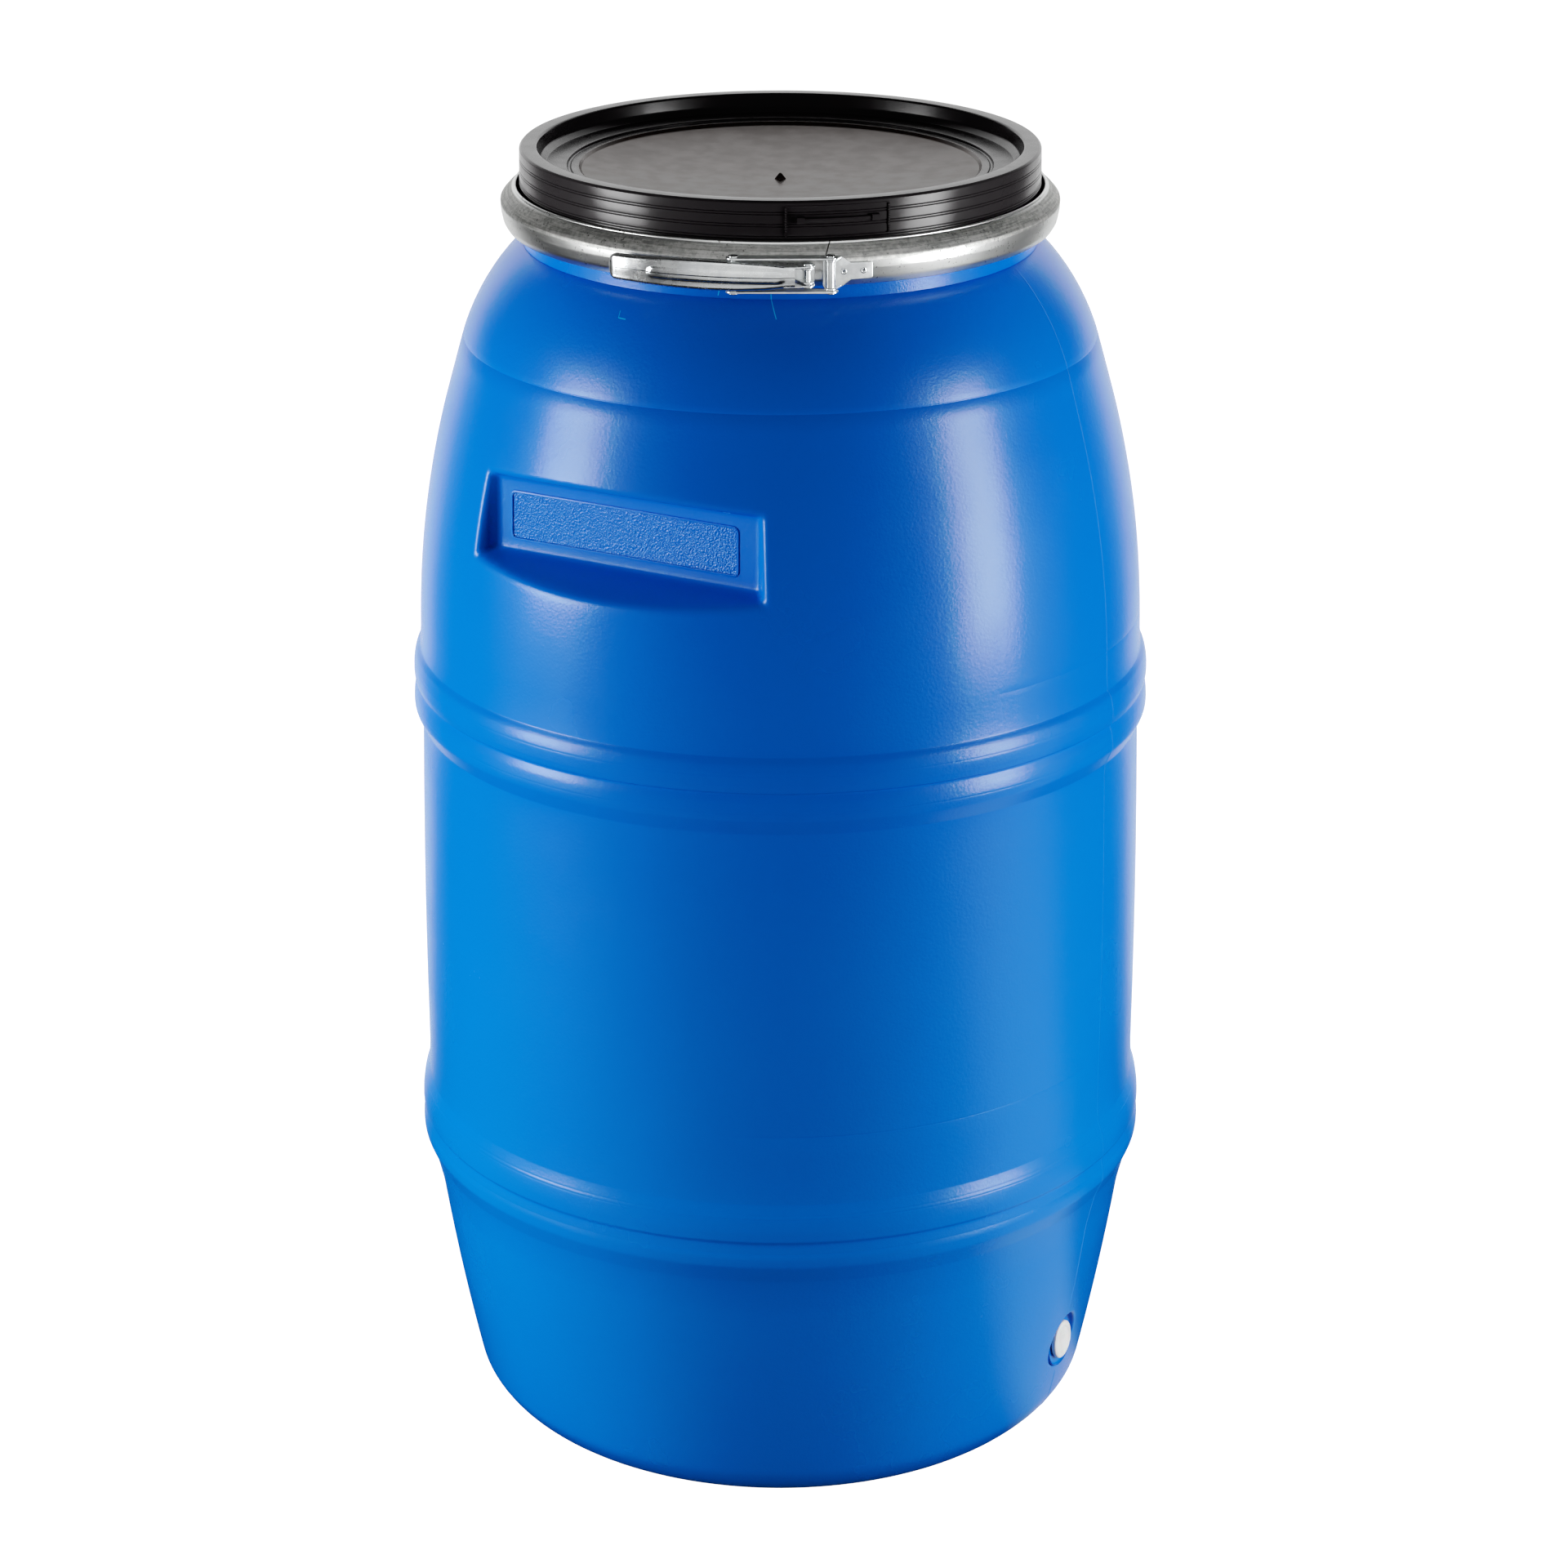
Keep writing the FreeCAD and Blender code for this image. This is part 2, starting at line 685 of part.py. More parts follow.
def make_lever():
    face = "lever_face_radius"
    tip = SIZES["lever_tip_azimuth"]
    face_end = SIZES["lever_face_end_azimuth"]
    pivot = SIZES["lever_pivot_azimuth"]
    pressing = channel_block("lever_pressing", "", face, tip, pivot)
    hollow = channel_block("lever_hollow", " - fitting_steel", face + " - fitting_steel",
                           tip - 2, pivot + 4)
    notch = arc_block("lever_notch", face + " - fitting_steel - 2.4", face + " + 4", "-20", "20",
                      face_end, pivot + 4)
    root = at_pivot(cylinder("lever_root", "lever_root_reach", "0 - lever_root_half_height",
                                "lever_root_half_height"), "lever")
    root.Placement.Base.z = -SIZES["lever_root_half_height"]
    solid = combined("Cut", "lever_channel", fused("lever_blank", [pressing, root]), hollow)
    solid = combined("Cut", "lever_notched", solid, notch)
    bead = arc_block("lever_bead", face + " - 0.5", face + " + lever_bead_proud",
                     "0 - lever_bead_half_height", "lever_bead_half_height",
                     SIZES["lever_bead_start"], SIZES["lever_bead_end"])
    solid = fused("lever_beaded", [solid, bead])
    for pivot_name in ("lever", "link"):
        solid = bored("lever_bored_" + pivot_name, solid, pivot_name)
    solid.Label = "lever"
    return to_closure(raised(solid, SIZES["closure_height"]))


def rivet_azimuths(name):
    """Azimuths of a bracket's two fixing rivets."""
    if name == "lever":
        return (SIZES["lever_bracket_start"] + 2.2, SIZES["lever_bracket_start"] + 6.4)
    return (SIZES["catch_bracket_start"] + 2.5, SIZES["catch_bracket_start"] + 6.4)


def radial(label, radius, start, end, azimuth):
    """A cylinder that points outwards at an azimuth, at the closure's mid height."""
    rod = cylinder(label, radius, start, end, Vector(0, -1, 0))
    return turned(rod, azimuth)


def make_bracket(name, start, end, half_height, ear_sweep, extra):
    """A back plate riveted to the ring's web with two ears folded out round a pivot."""
    label = name + "_bracket"
    back = "bracket_back_radius"
    front = back + " + fitting_steel"
    pivot = SIZES[name + "_pivot_azimuth"]
    ear_start, ear_end = pivot - ear_sweep / 2, pivot + ear_sweep / 2
    plates = [arc_block(label + "_plate", back, front, "0 - " + half_height, half_height, start, end)]
    plates += extra
    reach = name + "_pivot_radius + ear_reach"
    for side, low, high in (
        ("upper", half_height + " - fitting_steel", half_height),
        ("lower", "0 - " + half_height, "0 - " + half_height + " + fitting_steel"),
    ):
        plates.append(arc_block(label + "_ear_" + side, back, reach, low, high, ear_start, ear_end))
    solid = bored(label + "_bored", fused(label + "_plates", plates), name)
    for index, azimuth in enumerate(rivet_azimuths(name)):
        drill = radial(label + "_drill_%d" % index, "rivet_radius", "ring_web_foot_radius - 10",
                       back + " + 10", azimuth)
        solid = combined("Cut", label + "_drilled_%d" % index, solid, drill)
    solid.Label = label
    return to_closure(raised(solid, SIZES["closure_height"]))


def make_lever_bracket():
    return make_bracket("lever", SIZES["lever_bracket_start"], SIZES["lever_bracket_end"],
                        "lever_bracket_half_height", SIZES["lever_ear_sweep"], [])


def make_catch_bracket():
    tongue = arc_block("catch_tongue", "bracket_back_radius", "bracket_back_radius + fitting_steel",
                       "0 - catch_tongue_half_height", "catch_tongue_half_height",
                       SIZES["catch_bracket_end"] - 1, SIZES["catch_tongue_end"])
    start = SIZES["catch_pivot_azimuth"] - SIZES["catch_ear_sweep"] / 2
    return make_bracket("catch", start, SIZES["catch_bracket_end"],
                        "catch_bracket_half_height", SIZES["catch_ear_sweep"], [tongue])


def make_bracket_rivets(name):
    """The two rivets that hold a bracket against the ring's web, as separate solids."""
    back = "ring_radius + fitting_gap"
    rivets = []
    for index, azimuth in enumerate(rivet_azimuths(name)):
        label = name + "_rivet_%d" % index
        shank = radial(label + "_shank", "rivet_radius", back,
                       "bracket_back_radius + fitting_steel + 0.1", azimuth)
        head = radial(label + "_head", "rivet_head_radius",
                      "bracket_back_radius + fitting_steel",
                      "bracket_back_radius + fitting_steel + rivet_head_height", azimuth)
        rivets.append(fused(label, [shank, head]))
    group = doc.addObject("Part::Compound", name + "_bracket_rivets")
    group.Links = rivets
    return to_closure(raised(group, SIZES["closure_height"]))


def make_pin(label, pivot, half_length, head_radius, head_height):
    """A headed pivot pin; half_length is from mid height to the underside of a head."""
    upper = [
        ("pin_radius", half_length),
        (head_radius, half_length),
        (head_radius, half_length + " + " + head_height + " - 0.8"),
        (head_radius + " - 0.8", half_length + " + " + head_height),
        ("0", half_length + " + " + head_height),
    ]
    lower = [(across, minus(along)) for across, along in reversed(upper)]
    pin = revolved(label, lower + upper)
    return to_closure(at_pivot(pin, pivot))


def make_catch_pin():
    """The catch pin, parted flush with its bracket's ears, where the linkage is left open."""
    pin = cylinder("catch_pivot_pin", "pin_radius", "0 - catch_bracket_half_height",
                   "catch_bracket_half_height")
    offset = SIZES["catch_bracket_half_height"]
    at_pivot(pin, "catch")
    return to_closure(raised(pin, -offset))


def link_length():
    return (PIVOTS["catch"] - PIVOTS["link"]).Length


def make_strap(label, sign):
    """A flat link strap with round ends and a bore at each end."""
    reach = "%.6f" % link_length()
    half = "strap_half_width"
    strap = doc.addObject("PartDesign::Body", label)
    sketch = outline_sketch(strap, label + "_outline", "XY_Plane", [
        ("0", "0 - " + half),
        (reach, "0 - " + half),
        (reach + " + " + half, "0", "arc"),
        (reach, half),
        ("0", half),
        ("0 - " + half, "0", "arc"),
    ])
    pad = strap.newObject("PartDesign::Pad", label + "_pad")
    pad.Profile = sketch
    pad.setExpression("Length", bound("strap_steel"))
    bores = strap.newObject("Sketcher::SketchObject", label + "_bores")
    bores.AttachmentSupport = (origin_plane(strap, "XY_Plane"), [""])
    bores.MapMode = "FlatFace"
    for centre in (0.0, float(reach)):
        circle = Part.Circle(Vector(centre, 0, 0), UP, number("pin_radius + pin_clearance"))
        index = bores.addGeometry(circle, False)
        bores.addConstraint(Sketcher.Constraint("PointOnObject", index, 3, -1))
        if centre:
            bores.addConstraint(Sketcher.Constraint("DistanceX", -1, 1, index, 3, centre))
        else:
            bores.addConstraint(Sketcher.Constraint("PointOnObject", index, 3, -2))
        size = bores.addConstraint(Sketcher.Constraint("Radius", index, circle.Radius))
        bores.setExpression("Constraints[%d]" % size, bound("pin_radius + pin_clearance"))
    pocket = strap.newObject("PartDesign::Pocket", label + "_pocket")
    pocket.Profile = bores
    pocket.Type = 1
    pocket.Midplane = True
    strap.Tip = pocket
    run = PIVOTS["catch"] - PIVOTS["link"]
    foot = number("strap_inner_half_gap" if sign > 0 else minus("strap_inner_half_gap + strap_steel"))
    place = PIVOTS["link"] + UP * (SIZES["closure_height"] + foot)
    strap.Placement = FreeCAD.Placement(place, FreeCAD.Rotation(Vector(1, 0, 0), run))
    return to_closure(strap)


def make_link_rivets():
    """The two rivet ends that stay in the straps at the catch pivot."""
    ends = []
    for side, sign in (("upper", 1), ("lower", -1)):
        outline = [
            ("0", "strap_inner_half_gap"),
            ("pin_radius", "strap_inner_half_gap"),
            ("pin_radius", "strap_inner_half_gap + strap_steel + pin_clearance"),
            ("pin_head_radius", "strap_inner_half_gap + strap_steel + pin_clearance"),
            ("pin_head_radius", "strap_inner_half_gap + strap_steel + pin_head_height - 0.8"),
            ("pin_head_radius - 0.8", "strap_inner_half_gap + strap_steel + pin_head_height"),
            ("0", "strap_inner_half_gap + strap_steel + pin_head_height"),
        ]
        end = revolved("link_rivet_" + side, outline)
        if sign < 0:
            end.Placement = FreeCAD.Placement(Vector(), FreeCAD.Rotation(Vector(1, 0, 0), 180))
        end.Placement.Base = PIVOTS["catch"]
        ends.append(end)
    group = doc.addObject("Part::Compound", "link_end_rivets")
    group.Links = ends
    return to_closure(raised(group, SIZES["closure_height"]))


def make_pieces():
    return [
        make_drum_shell(),
        make_drain_plug(),
        make_plug_washer(),
        make_lid(),
        make_gasket(),
        make_closure_ring(),
        make_lever_bracket(),
        make_bracket_rivets("lever"),
        make_catch_bracket(),
        make_bracket_rivets("catch"),
        make_lever(),
        make_strap("link_strap_upper", 1),
        make_strap("link_strap_lower", -1),
        make_link_rivets(),
        make_pin("lever_pivot_pin", "lever", "lever_root_half_height + pin_clearance",
                 "pin_head_radius", "pin_head_height"),
        make_pin("link_pivot_pin", "link", "strap_inner_half_gap + strap_steel + pin_clearance",
                 "pin_head_radius", "pin_head_height"),
        make_catch_pin(),
    ]


def check(pieces):
    for item in doc.Objects:
        if "Invalid" in item.State or "Error" in item.State:
            raise RuntimeError(item.Label + " failed: " + str(item.State))
    for piece in pieces:
        shape = piece.Shape
        if shape.isNull() or not shape.isValid() or not shape.Solids:
            raise RuntimeError(piece.Label + " is not a valid solid")


fill_sheet()
pieces = make_pieces()
doc.recompute()
check(pieces)
os.makedirs(PARTS_FOLDER, exist_ok=True)
for piece in pieces:
    piece.Shape.exportStep(os.path.join(PARTS_FOLDER, piece.Label + ".step"))
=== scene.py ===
# Looks of an open-head plastic drum: blown blue barrel, black lid, galvanised lever-lock ring.
# Outlines are drawn in millimetres in the CAD frame and become metres when a mesh is made.
# +Z is up, the origin is the centre of the foot, the hand grips face -Y and +Y, and the
# drain plug is on the +X side. Azimuth 0 is -Y and positive goes towards +X.

import json
import math
from contextlib import contextmanager

import bmesh
import bpy
import numpy as np
from mathutils import Matrix, Vector

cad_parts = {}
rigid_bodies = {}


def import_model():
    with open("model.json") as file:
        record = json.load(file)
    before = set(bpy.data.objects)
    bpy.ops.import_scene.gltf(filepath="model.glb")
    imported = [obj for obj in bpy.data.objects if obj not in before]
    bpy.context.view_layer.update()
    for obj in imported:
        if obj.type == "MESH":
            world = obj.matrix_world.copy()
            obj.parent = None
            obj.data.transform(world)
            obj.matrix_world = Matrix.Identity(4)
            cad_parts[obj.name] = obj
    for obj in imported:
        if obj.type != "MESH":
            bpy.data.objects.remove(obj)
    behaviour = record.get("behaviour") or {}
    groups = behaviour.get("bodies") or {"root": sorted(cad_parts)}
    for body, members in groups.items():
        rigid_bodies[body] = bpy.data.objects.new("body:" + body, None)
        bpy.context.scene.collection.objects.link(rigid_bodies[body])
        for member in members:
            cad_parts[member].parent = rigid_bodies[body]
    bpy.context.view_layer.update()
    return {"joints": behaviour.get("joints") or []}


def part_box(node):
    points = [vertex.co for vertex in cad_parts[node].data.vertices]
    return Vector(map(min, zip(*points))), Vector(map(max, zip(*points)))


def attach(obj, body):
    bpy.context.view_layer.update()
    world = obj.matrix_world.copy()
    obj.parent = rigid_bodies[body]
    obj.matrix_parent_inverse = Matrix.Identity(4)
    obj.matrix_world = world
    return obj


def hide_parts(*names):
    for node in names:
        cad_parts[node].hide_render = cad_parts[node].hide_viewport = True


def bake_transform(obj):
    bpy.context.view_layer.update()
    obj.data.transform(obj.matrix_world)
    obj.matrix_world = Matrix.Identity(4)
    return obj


MM = 0.001
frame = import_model()


# ---------------------------------------------------------------- frame places, in millimetres

def low(node):
    return np.array(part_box(node)[0]) / MM


def high(node):
    return np.array(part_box(node)[1]) / MM


def middle(node):
    return (low(node) + high(node)) / 2


JOINT_PLACE = {
    joint["name"]: np.array(joint["pos_m"]) / MM
    for joint in frame["joints"]
    if "pos_m" in joint
}
LEVER_PIVOT = JOINT_PLACE["lever_swing"]
LINK_PIVOT = JOINT_PLACE["link_swing"]
CATCH_PIVOT = middle("catch_pivot_pin")
RING_HINGE = JOINT_PLACE["lever_end_spread"]
CLOSURE_HEIGHT = LEVER_PIVOT[2]
GAP_AZIMUTH = math.degrees(math.atan2(-RING_HINGE[0], RING_HINGE[1]))
LID_TOP = high("lid")[2]
PLUG_HEIGHT = middle("drain_plug")[2]
PLUG_FRONT = high("drain_plug")[0]


# ---------------------------------------------------------------- outlines

def rounded(outline, closed=True):
    """A polyline with its corners rounded. A corner is (across, along) or (across, along, radius)."""
    count = len(outline)
    points = []
    for index, corner in enumerate(outline):
        here = np.array(corner[:2], float)
        radius = corner[2] if len(corner) > 2 else 0
        inner = closed or 0 < index < count - 1
        if not radius or not inner:
            points.append(here)
            continue
        back = np.array(outline[index - 1][:2], float) - here
        ahead = np.array(outline[(index + 1) % count][:2], float) - here
        back_length = np.linalg.norm(back)
        ahead_length = np.linalg.norm(ahead)
        back /= back_length
        ahead /= ahead_length
        half = math.acos(np.clip(back @ ahead, -1, 1)) / 2
        if half > math.radians(89.4):
            points.append(here)
            continue
        cut = min(radius / math.tan(half), 0.48 * back_length, 0.48 * ahead_length)
        radius = cut * math.tan(half)
        bisector = (back + ahead) / np.linalg.norm(back + ahead)
        centre = here + bisector * radius / math.sin(half)
        start = here + back * cut - centre
        end = here + ahead * cut - centre
        first = math.atan2(start[1], start[0])
        turn = (math.atan2(end[1], end[0]) - first + math.pi) % (2 * math.pi) - math.pi
        steps = max(2, math.ceil(abs(turn) / math.radians(13)))
        for step in range(steps + 1):
            angle = first + turn * step / steps
            points.append(centre + radius * np.array([math.cos(angle), math.sin(angle)]))
    return np.array(points)


def bow(start, through, end, steps=40):
    """Points of the circle arc from start to end through a middle point."""
    a, b, c = (complex(*point) for point in (start, through, end))
    w = (c - a) / (b - a)
    centre = a + (b - a) * (w - abs(w) ** 2) / (2j * w.imag)
    radius = abs(a - centre)
    first = math.atan2((a - centre).imag, (a - centre).real)
    mid = math.atan2((b - centre).imag, (b - centre).real)
    last = math.atan2((c - centre).imag, (c - centre).real)
    near = (mid - first + math.pi) % (2 * math.pi) - math.pi
    rest = (last - mid + math.pi) % (2 * math.pi) - math.pi
    angles = first + (near + rest) * np.arange(steps + 1) / steps
    return [(centre.real + radius * math.cos(t), centre.imag + radius * math.sin(t)) for t in angles]


def on_circle(radius, azimuth, height):
    """Points at radii, azimuths in degrees and heights."""
    angle = np.radians(azimuth)
    radius, angle, height = np.broadcast_arrays(radius, angle, height)
    return np.stack([radius * np.sin(angle), -radius * np.cos(angle), height], -1)


# ---------------------------------------------------------------- meshes

def linked(name, data):
    """A new object in the scene that shows a mesh, curve, lamp or camera."""
    thing = bpy.data.objects.new(name, data)
    bpy.context.scene.collection.objects.link(thing)
    return thing


@contextmanager
def editing(mesh):
    """Opens a mesh for editing and writes the result back."""
    body = bmesh.new()
    body.from_mesh(mesh)
    yield body
    body.to_mesh(mesh)
    body.free()


def make_object(name, vertices, faces, sharp=40):
    """A smooth-shaded mesh object from points in millimetres."""
    mesh = bpy.data.meshes.new(name)
    mesh.from_pydata([tuple(point) for point in np.asarray(vertices, float) * MM], [], faces)
    with editing(mesh) as body:
        bmesh.ops.remove_doubles(body, verts=body.verts, dist=1e-7)
        bmesh.ops.dissolve_degenerate(body, edges=body.edges, dist=1e-8)
        bmesh.ops.recalc_face_normals(body, faces=body.faces)
    return shade(linked(name, mesh), sharp)


def shade(piece, sharp=40):
    """Shades a piece smooth except at edges sharper than an angle in degrees."""
    piece.data.shade_smooth()
    piece.data.set_sharp_from_angle(angle=math.radians(sharp))
    return piece


def grid_faces(rows, columns, wrap_rows=False, wrap_columns=False, skip=None):
    faces = []
    for row in range(rows if wrap_rows else rows - 1):
        above = (row + 1) % rows
        for column in range(columns if wrap_columns else columns - 1):
            if skip is not None and skip(row, column):
                continue
            beside = (column + 1) % columns
            faces.append((row * columns + column, row * columns + beside,
                          above * columns + beside, above * columns + column))
    return faces


def lathe(name, outline, segments=256, sharp=40):
    """Turns a closed outline of (radius, height) right round the Z axis."""
    azimuths = np.arange(segments) * 360 / segments
    outline = np.asarray(outline, float)
    points = on_circle(outline[:, None, 0], azimuths[None, :], outline[:, None, 1])
    faces = grid_faces(len(outline), segments, wrap_rows=True, wrap_columns=True)
    return make_object(name, points.reshape(-1, 3), faces, sharp)


def loft(name, sections, sharp=40):
    """Joins closed sections of equal length and caps both ends."""
    sections = np.asarray(sections, float)
    rows, columns = sections.shape[:2]
    faces = grid_faces(rows, columns, wrap_columns=True)
    faces.append(tuple(range(columns)))
    faces.append(tuple(range((rows - 1) * columns, rows * columns)))
    return make_object(name, sections.reshape(-1, 3), faces, sharp)


def swept(name, outline, azimuths, sharp=40, lean=None):
    """Sweeps a closed outline of (radius, height) between azimuths. lean shifts each end's azimuth."""
    outline = np.asarray(outline, float)
    sections = []
    for index, azimuth in enumerate(azimuths):
        shift = 0 if lean is None else lean(index, outline)
        sections.append(on_circle(outline[:, 0], azimuth + shift, outline[:, 1]))
    return loft(name, sections, sharp)


def move(piece, matrix):
    piece.data.transform(matrix)
    piece.data.update()
    return piece


def place(piece, point):
    """Shifts a piece by a point in millimetres."""
    return move(piece, Matrix.Translation(Vector(point) * MM))


def turn_to(piece, axis):
    """Turns a piece drawn along +Z to point along an axis."""
    return move(piece, Vector((0, 0, 1)).rotation_difference(Vector(axis)).to_matrix().to_4x4())


def plate(name, outlines, thickness, edge=0.25, sharp=40):
    """A flat plate in XY with rounded edges. Outlines after the first one are holes."""
    curve = bpy.data.curves.new(name, "CURVE")
    curve.dimensions = "2D"
    curve.fill_mode = "BOTH"
    for outline in outlines:
        spline = curve.splines.new("POLY")
        spline.points.add(len(outline) - 1)
        for point, (x, y) in zip(spline.points, outline):
            point.co = (x * MM, y * MM, 0, 1)
        spline.use_cyclic_u = True
    curve.extrude = (thickness / 2 - edge) * MM
    curve.bevel_depth = edge * MM
    curve.offset = -edge * MM
    curve.bevel_resolution = 2
    drawn = linked(name, curve)
    shape = drawn.evaluated_get(bpy.context.evaluated_depsgraph_get()).to_mesh().copy()
    bpy.data.objects.remove(drawn)
    with editing(shape) as body:
        bmesh.ops.remove_doubles(body, verts=body.verts, dist=1e-7)
        bmesh.ops.recalc_face_normals(body, faces=body.faces)
    return shade(linked(name, shape), sharp)


def sliced(piece, step):
    """Cuts extra edges across X so that a plate can be bent smoothly."""
    with editing(piece.data) as body:
        across = [vertex.co.x for vertex in body.verts]
        for x in np.arange(min(across) + step * MM, max(across), step * MM):
            geometry = body.verts[:] + body.edges[:] + body.faces[:]
            bmesh.ops.bisect_plane(body, geom=geometry, plane_co=(x, 0, 0), plane_no=(1, 0, 0))
    return piece


def wrapped(piece, radius, azimuth):
    """Bends a plate in XY round the drum: X runs along the azimuth, Y up and Z outwards."""
    for vertex in piece.data.vertices:
        x, y, z = vertex.co / MM
        angle = azimuth + math.degrees(x / radius)
        vertex.co = Vector(on_circle(radius + z, angle, CLOSURE_HEIGHT + y)) * MM
    piece.data.update()
    return piece


def joined(name, pieces):
    """One mesh object holding several closed shells."""
    body = bmesh.new()
    for piece in pieces:
        body.from_mesh(piece.data)
        bpy.data.objects.remove(piece)
    mesh = bpy.data.meshes.new(name)
    bmesh.ops.recalc_face_normals(body, faces=body.faces)
    body.to_mesh(mesh)
    body.free()
    return shade(linked(name, mesh))


def point_out(piece):
    """Turns an open sheet so that its faces look away from the drum's axis."""
    with editing(piece.data) as body:
        bmesh.ops.remove_doubles(body, verts=body.verts, dist=0.01 * MM)
        outward = 0
        for face in body.faces:
            x, y, _ = face.calc_center_median()
            outward += face.normal.dot(Vector((x, y, 0))) * face.calc_area()
        if outward < 0:
            bmesh.ops.reverse_faces(body, faces=body.faces)


def applied(piece):
    """Applies a piece's modifiers to its mesh."""
    shape = bpy.data.meshes.new_from_object(piece.evaluated_get(bpy.context.evaluated_depsgraph_get()))
    piece.modifiers.clear()
    piece.data = shape
    return shade(piece)


def circle(centre_x, centre_y, radius, steps=32):
    angles = np.arange(steps) * 2 * math.pi / steps
    return [(centre_x + radius * math.cos(t), centre_y + radius * math.sin(t)) for t in angles]


def finish_piece(piece, body, material, *nodes):
    """Gives a finished piece its material and its body, and hides the CAD nodes it stands for."""
    piece.data.materials.clear()
    piece.data.materials.append(material)
    # The CAD's materials hold the plain names, so Blender numbers these ones: "drum_plastic.001".
    material.name.split(".")[0]
    if nodes:
        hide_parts(*nodes)
    if body:
        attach(piece, body)
    return piece


# ---------------------------------------------------------------- materials

class Nodes:
    """A short way to write a node tree that reads the piece's own coordinates in metres."""

    def __init__(self, name, world=None, origin=None):
        self.material = world or bpy.data.materials.new(name)
        self.material.use_nodes = True
        self.tree = self.material.node_tree
        self.surface = self.tree.nodes["Background" if world else "Principled BSDF"]
        where = self.tree.nodes.new("ShaderNodeTexCoord")
        where.object = origin
        self.coordinates = where.outputs["Object"]

    def add(self, kind, inputs, output=0, **settings):
        node = self.tree.nodes.new("ShaderNode" + kind)
        for name, value in settings.items():
            setattr(node, name, value)
        for name, value in inputs.items():
            self.feed(node.inputs[name], value)
        return node.outputs[output]

    def feed(self, socket, value):
        if isinstance(value, bpy.types.NodeSocket):
            self.tree.links.new(value, socket)
        else:
            socket.default_value = value

    def set(self, **values):
        for name, value in values.items():
            self.feed(self.surface.inputs[name.replace("_", " ")], value)

    def math(self, operation, *values, clamp=False):
        return self.add("Math", dict(enumerate(values)), operation=operation, use_clamp=clamp)

    def times(self, first, *others):
        for value in others:
            first = self.math("MULTIPLY", first, value)
        return first

    def plus(self, first, second):
        return self.math("ADD", first, second)

    def hypot(self, x, y):
        return self.math("SQRT", self.plus(self.times(x, x), self.times(y, y)))

    def within(self, value, middle, outside, inside):
        """1 where a value is nearer to middle than inside, fading to 0 at outside."""
        off = self.math("ABSOLUTE", self.math("SUBTRACT", value, middle) if middle else value)
        return self.span(off, outside, inside)

    def noise(self, scale, detail=2.0, roughness=0.5, where=None, distortion=0.0):
        inputs = {"Vector": where or self.coordinates, "Scale": scale, "Detail": detail,
                  "Roughness": roughness, "Distortion": distortion}
        return self.add("TexNoise", inputs, "Fac")

    def cells(self, scale, output="Distance", where=None):
        inputs = {"Vector": where or self.coordinates, "Scale": scale}
        return self.add("TexVoronoi", inputs, output)

    def span(self, value, start, end, low=0.0, high=1.0, smooth=True):
        """Maps start..end to low..high, held at both ends."""
        inputs = {"Value": value, "From Min": start, "From Max": end, "To Min": low, "To Max": high}
        kind = "SMOOTHSTEP" if smooth else "LINEAR"
        return self.add("MapRange", inputs, interpolation_type=kind)

    def mix(self, factor, first, second):
        node = self.tree.nodes.new("ShaderNodeMix")
        node.data_type = "RGBA"
        for index, value in ((0, factor), (6, first), (7, second)):
            self.feed(node.inputs[index], value)
        return node.outputs[2]

    def split(self):
        node = self.tree.nodes.new("ShaderNodeSeparateXYZ")
        self.feed(node.inputs[0], self.coordinates)
        return node.outputs

    def polar(self, around=1.0, out=1.0, up=1.0):
        """Coordinates that run round the drum, outwards and up, each with its own scale."""
        x, y, z = self.split()
        angle = self.math("ARCTAN2", x, y)
        return self.add("CombineXYZ", {0: self.times(angle, around), 1: self.times(self.hypot(x, y), out),
                                       2: self.times(z, up)})

    def bump(self, height, distance, strength=1.0, after=None):
        inputs = {"Height": height, "Distance": distance, "Strength": strength}
        if after is not None:
            inputs["Normal"] = after
        return self.add("Bump", inputs)


SHOULDER = 215.0
SCRATCHES = [
    # from azimuth, height to azimuth, height, half width in mm
    (27.0, 943.0, 27.1, 936.8, 0.45), (27.1, 936.8, 28.2, 924.6, 0.45), (16.2, 945.0, 15.8, 938.4, 0.35),
    (-4.4, 922.5, -4.2, 917.9, 0.22), (-4.2, 917.9, -2.5, 917.6, 0.35),
]


def scratched(n, colour):
    """Pale scratches under the lever, each a thin straight stroke on the shoulder or collar."""
    x, y, z = n.split()
    around = n.times(n.math("ARCTAN2", x, n.times(y, -1.0)), SHOULDER)
    up = n.times(z, 1 / MM)
    for first, low_end, second, high_end, half in SCRATCHES:
        start = np.array([math.radians(first) * SHOULDER, low_end])
        run = np.array([math.radians(second) * SHOULDER, high_end]) - start
        length = float(np.linalg.norm(run))
        along, side = run / length, np.array([-run[1], run[0]]) / length
        across = n.math("SUBTRACT", around, float(start[0]))
        rise = n.math("SUBTRACT", up, float(start[1]))
        travel, off = (n.math("MULTIPLY_ADD", rise, float(way[1]), n.times(across, float(way[0])))
                       for way in (along, side))
        mask = n.times(n.within(off, 0, half, half / 2),
                       n.within(travel, length / 2, length / 2 + 0.2, length / 2 - 0.2))
        colour = n.mix(mask, colour, (0.03, 0.46, 0.95, 1))
    return colour


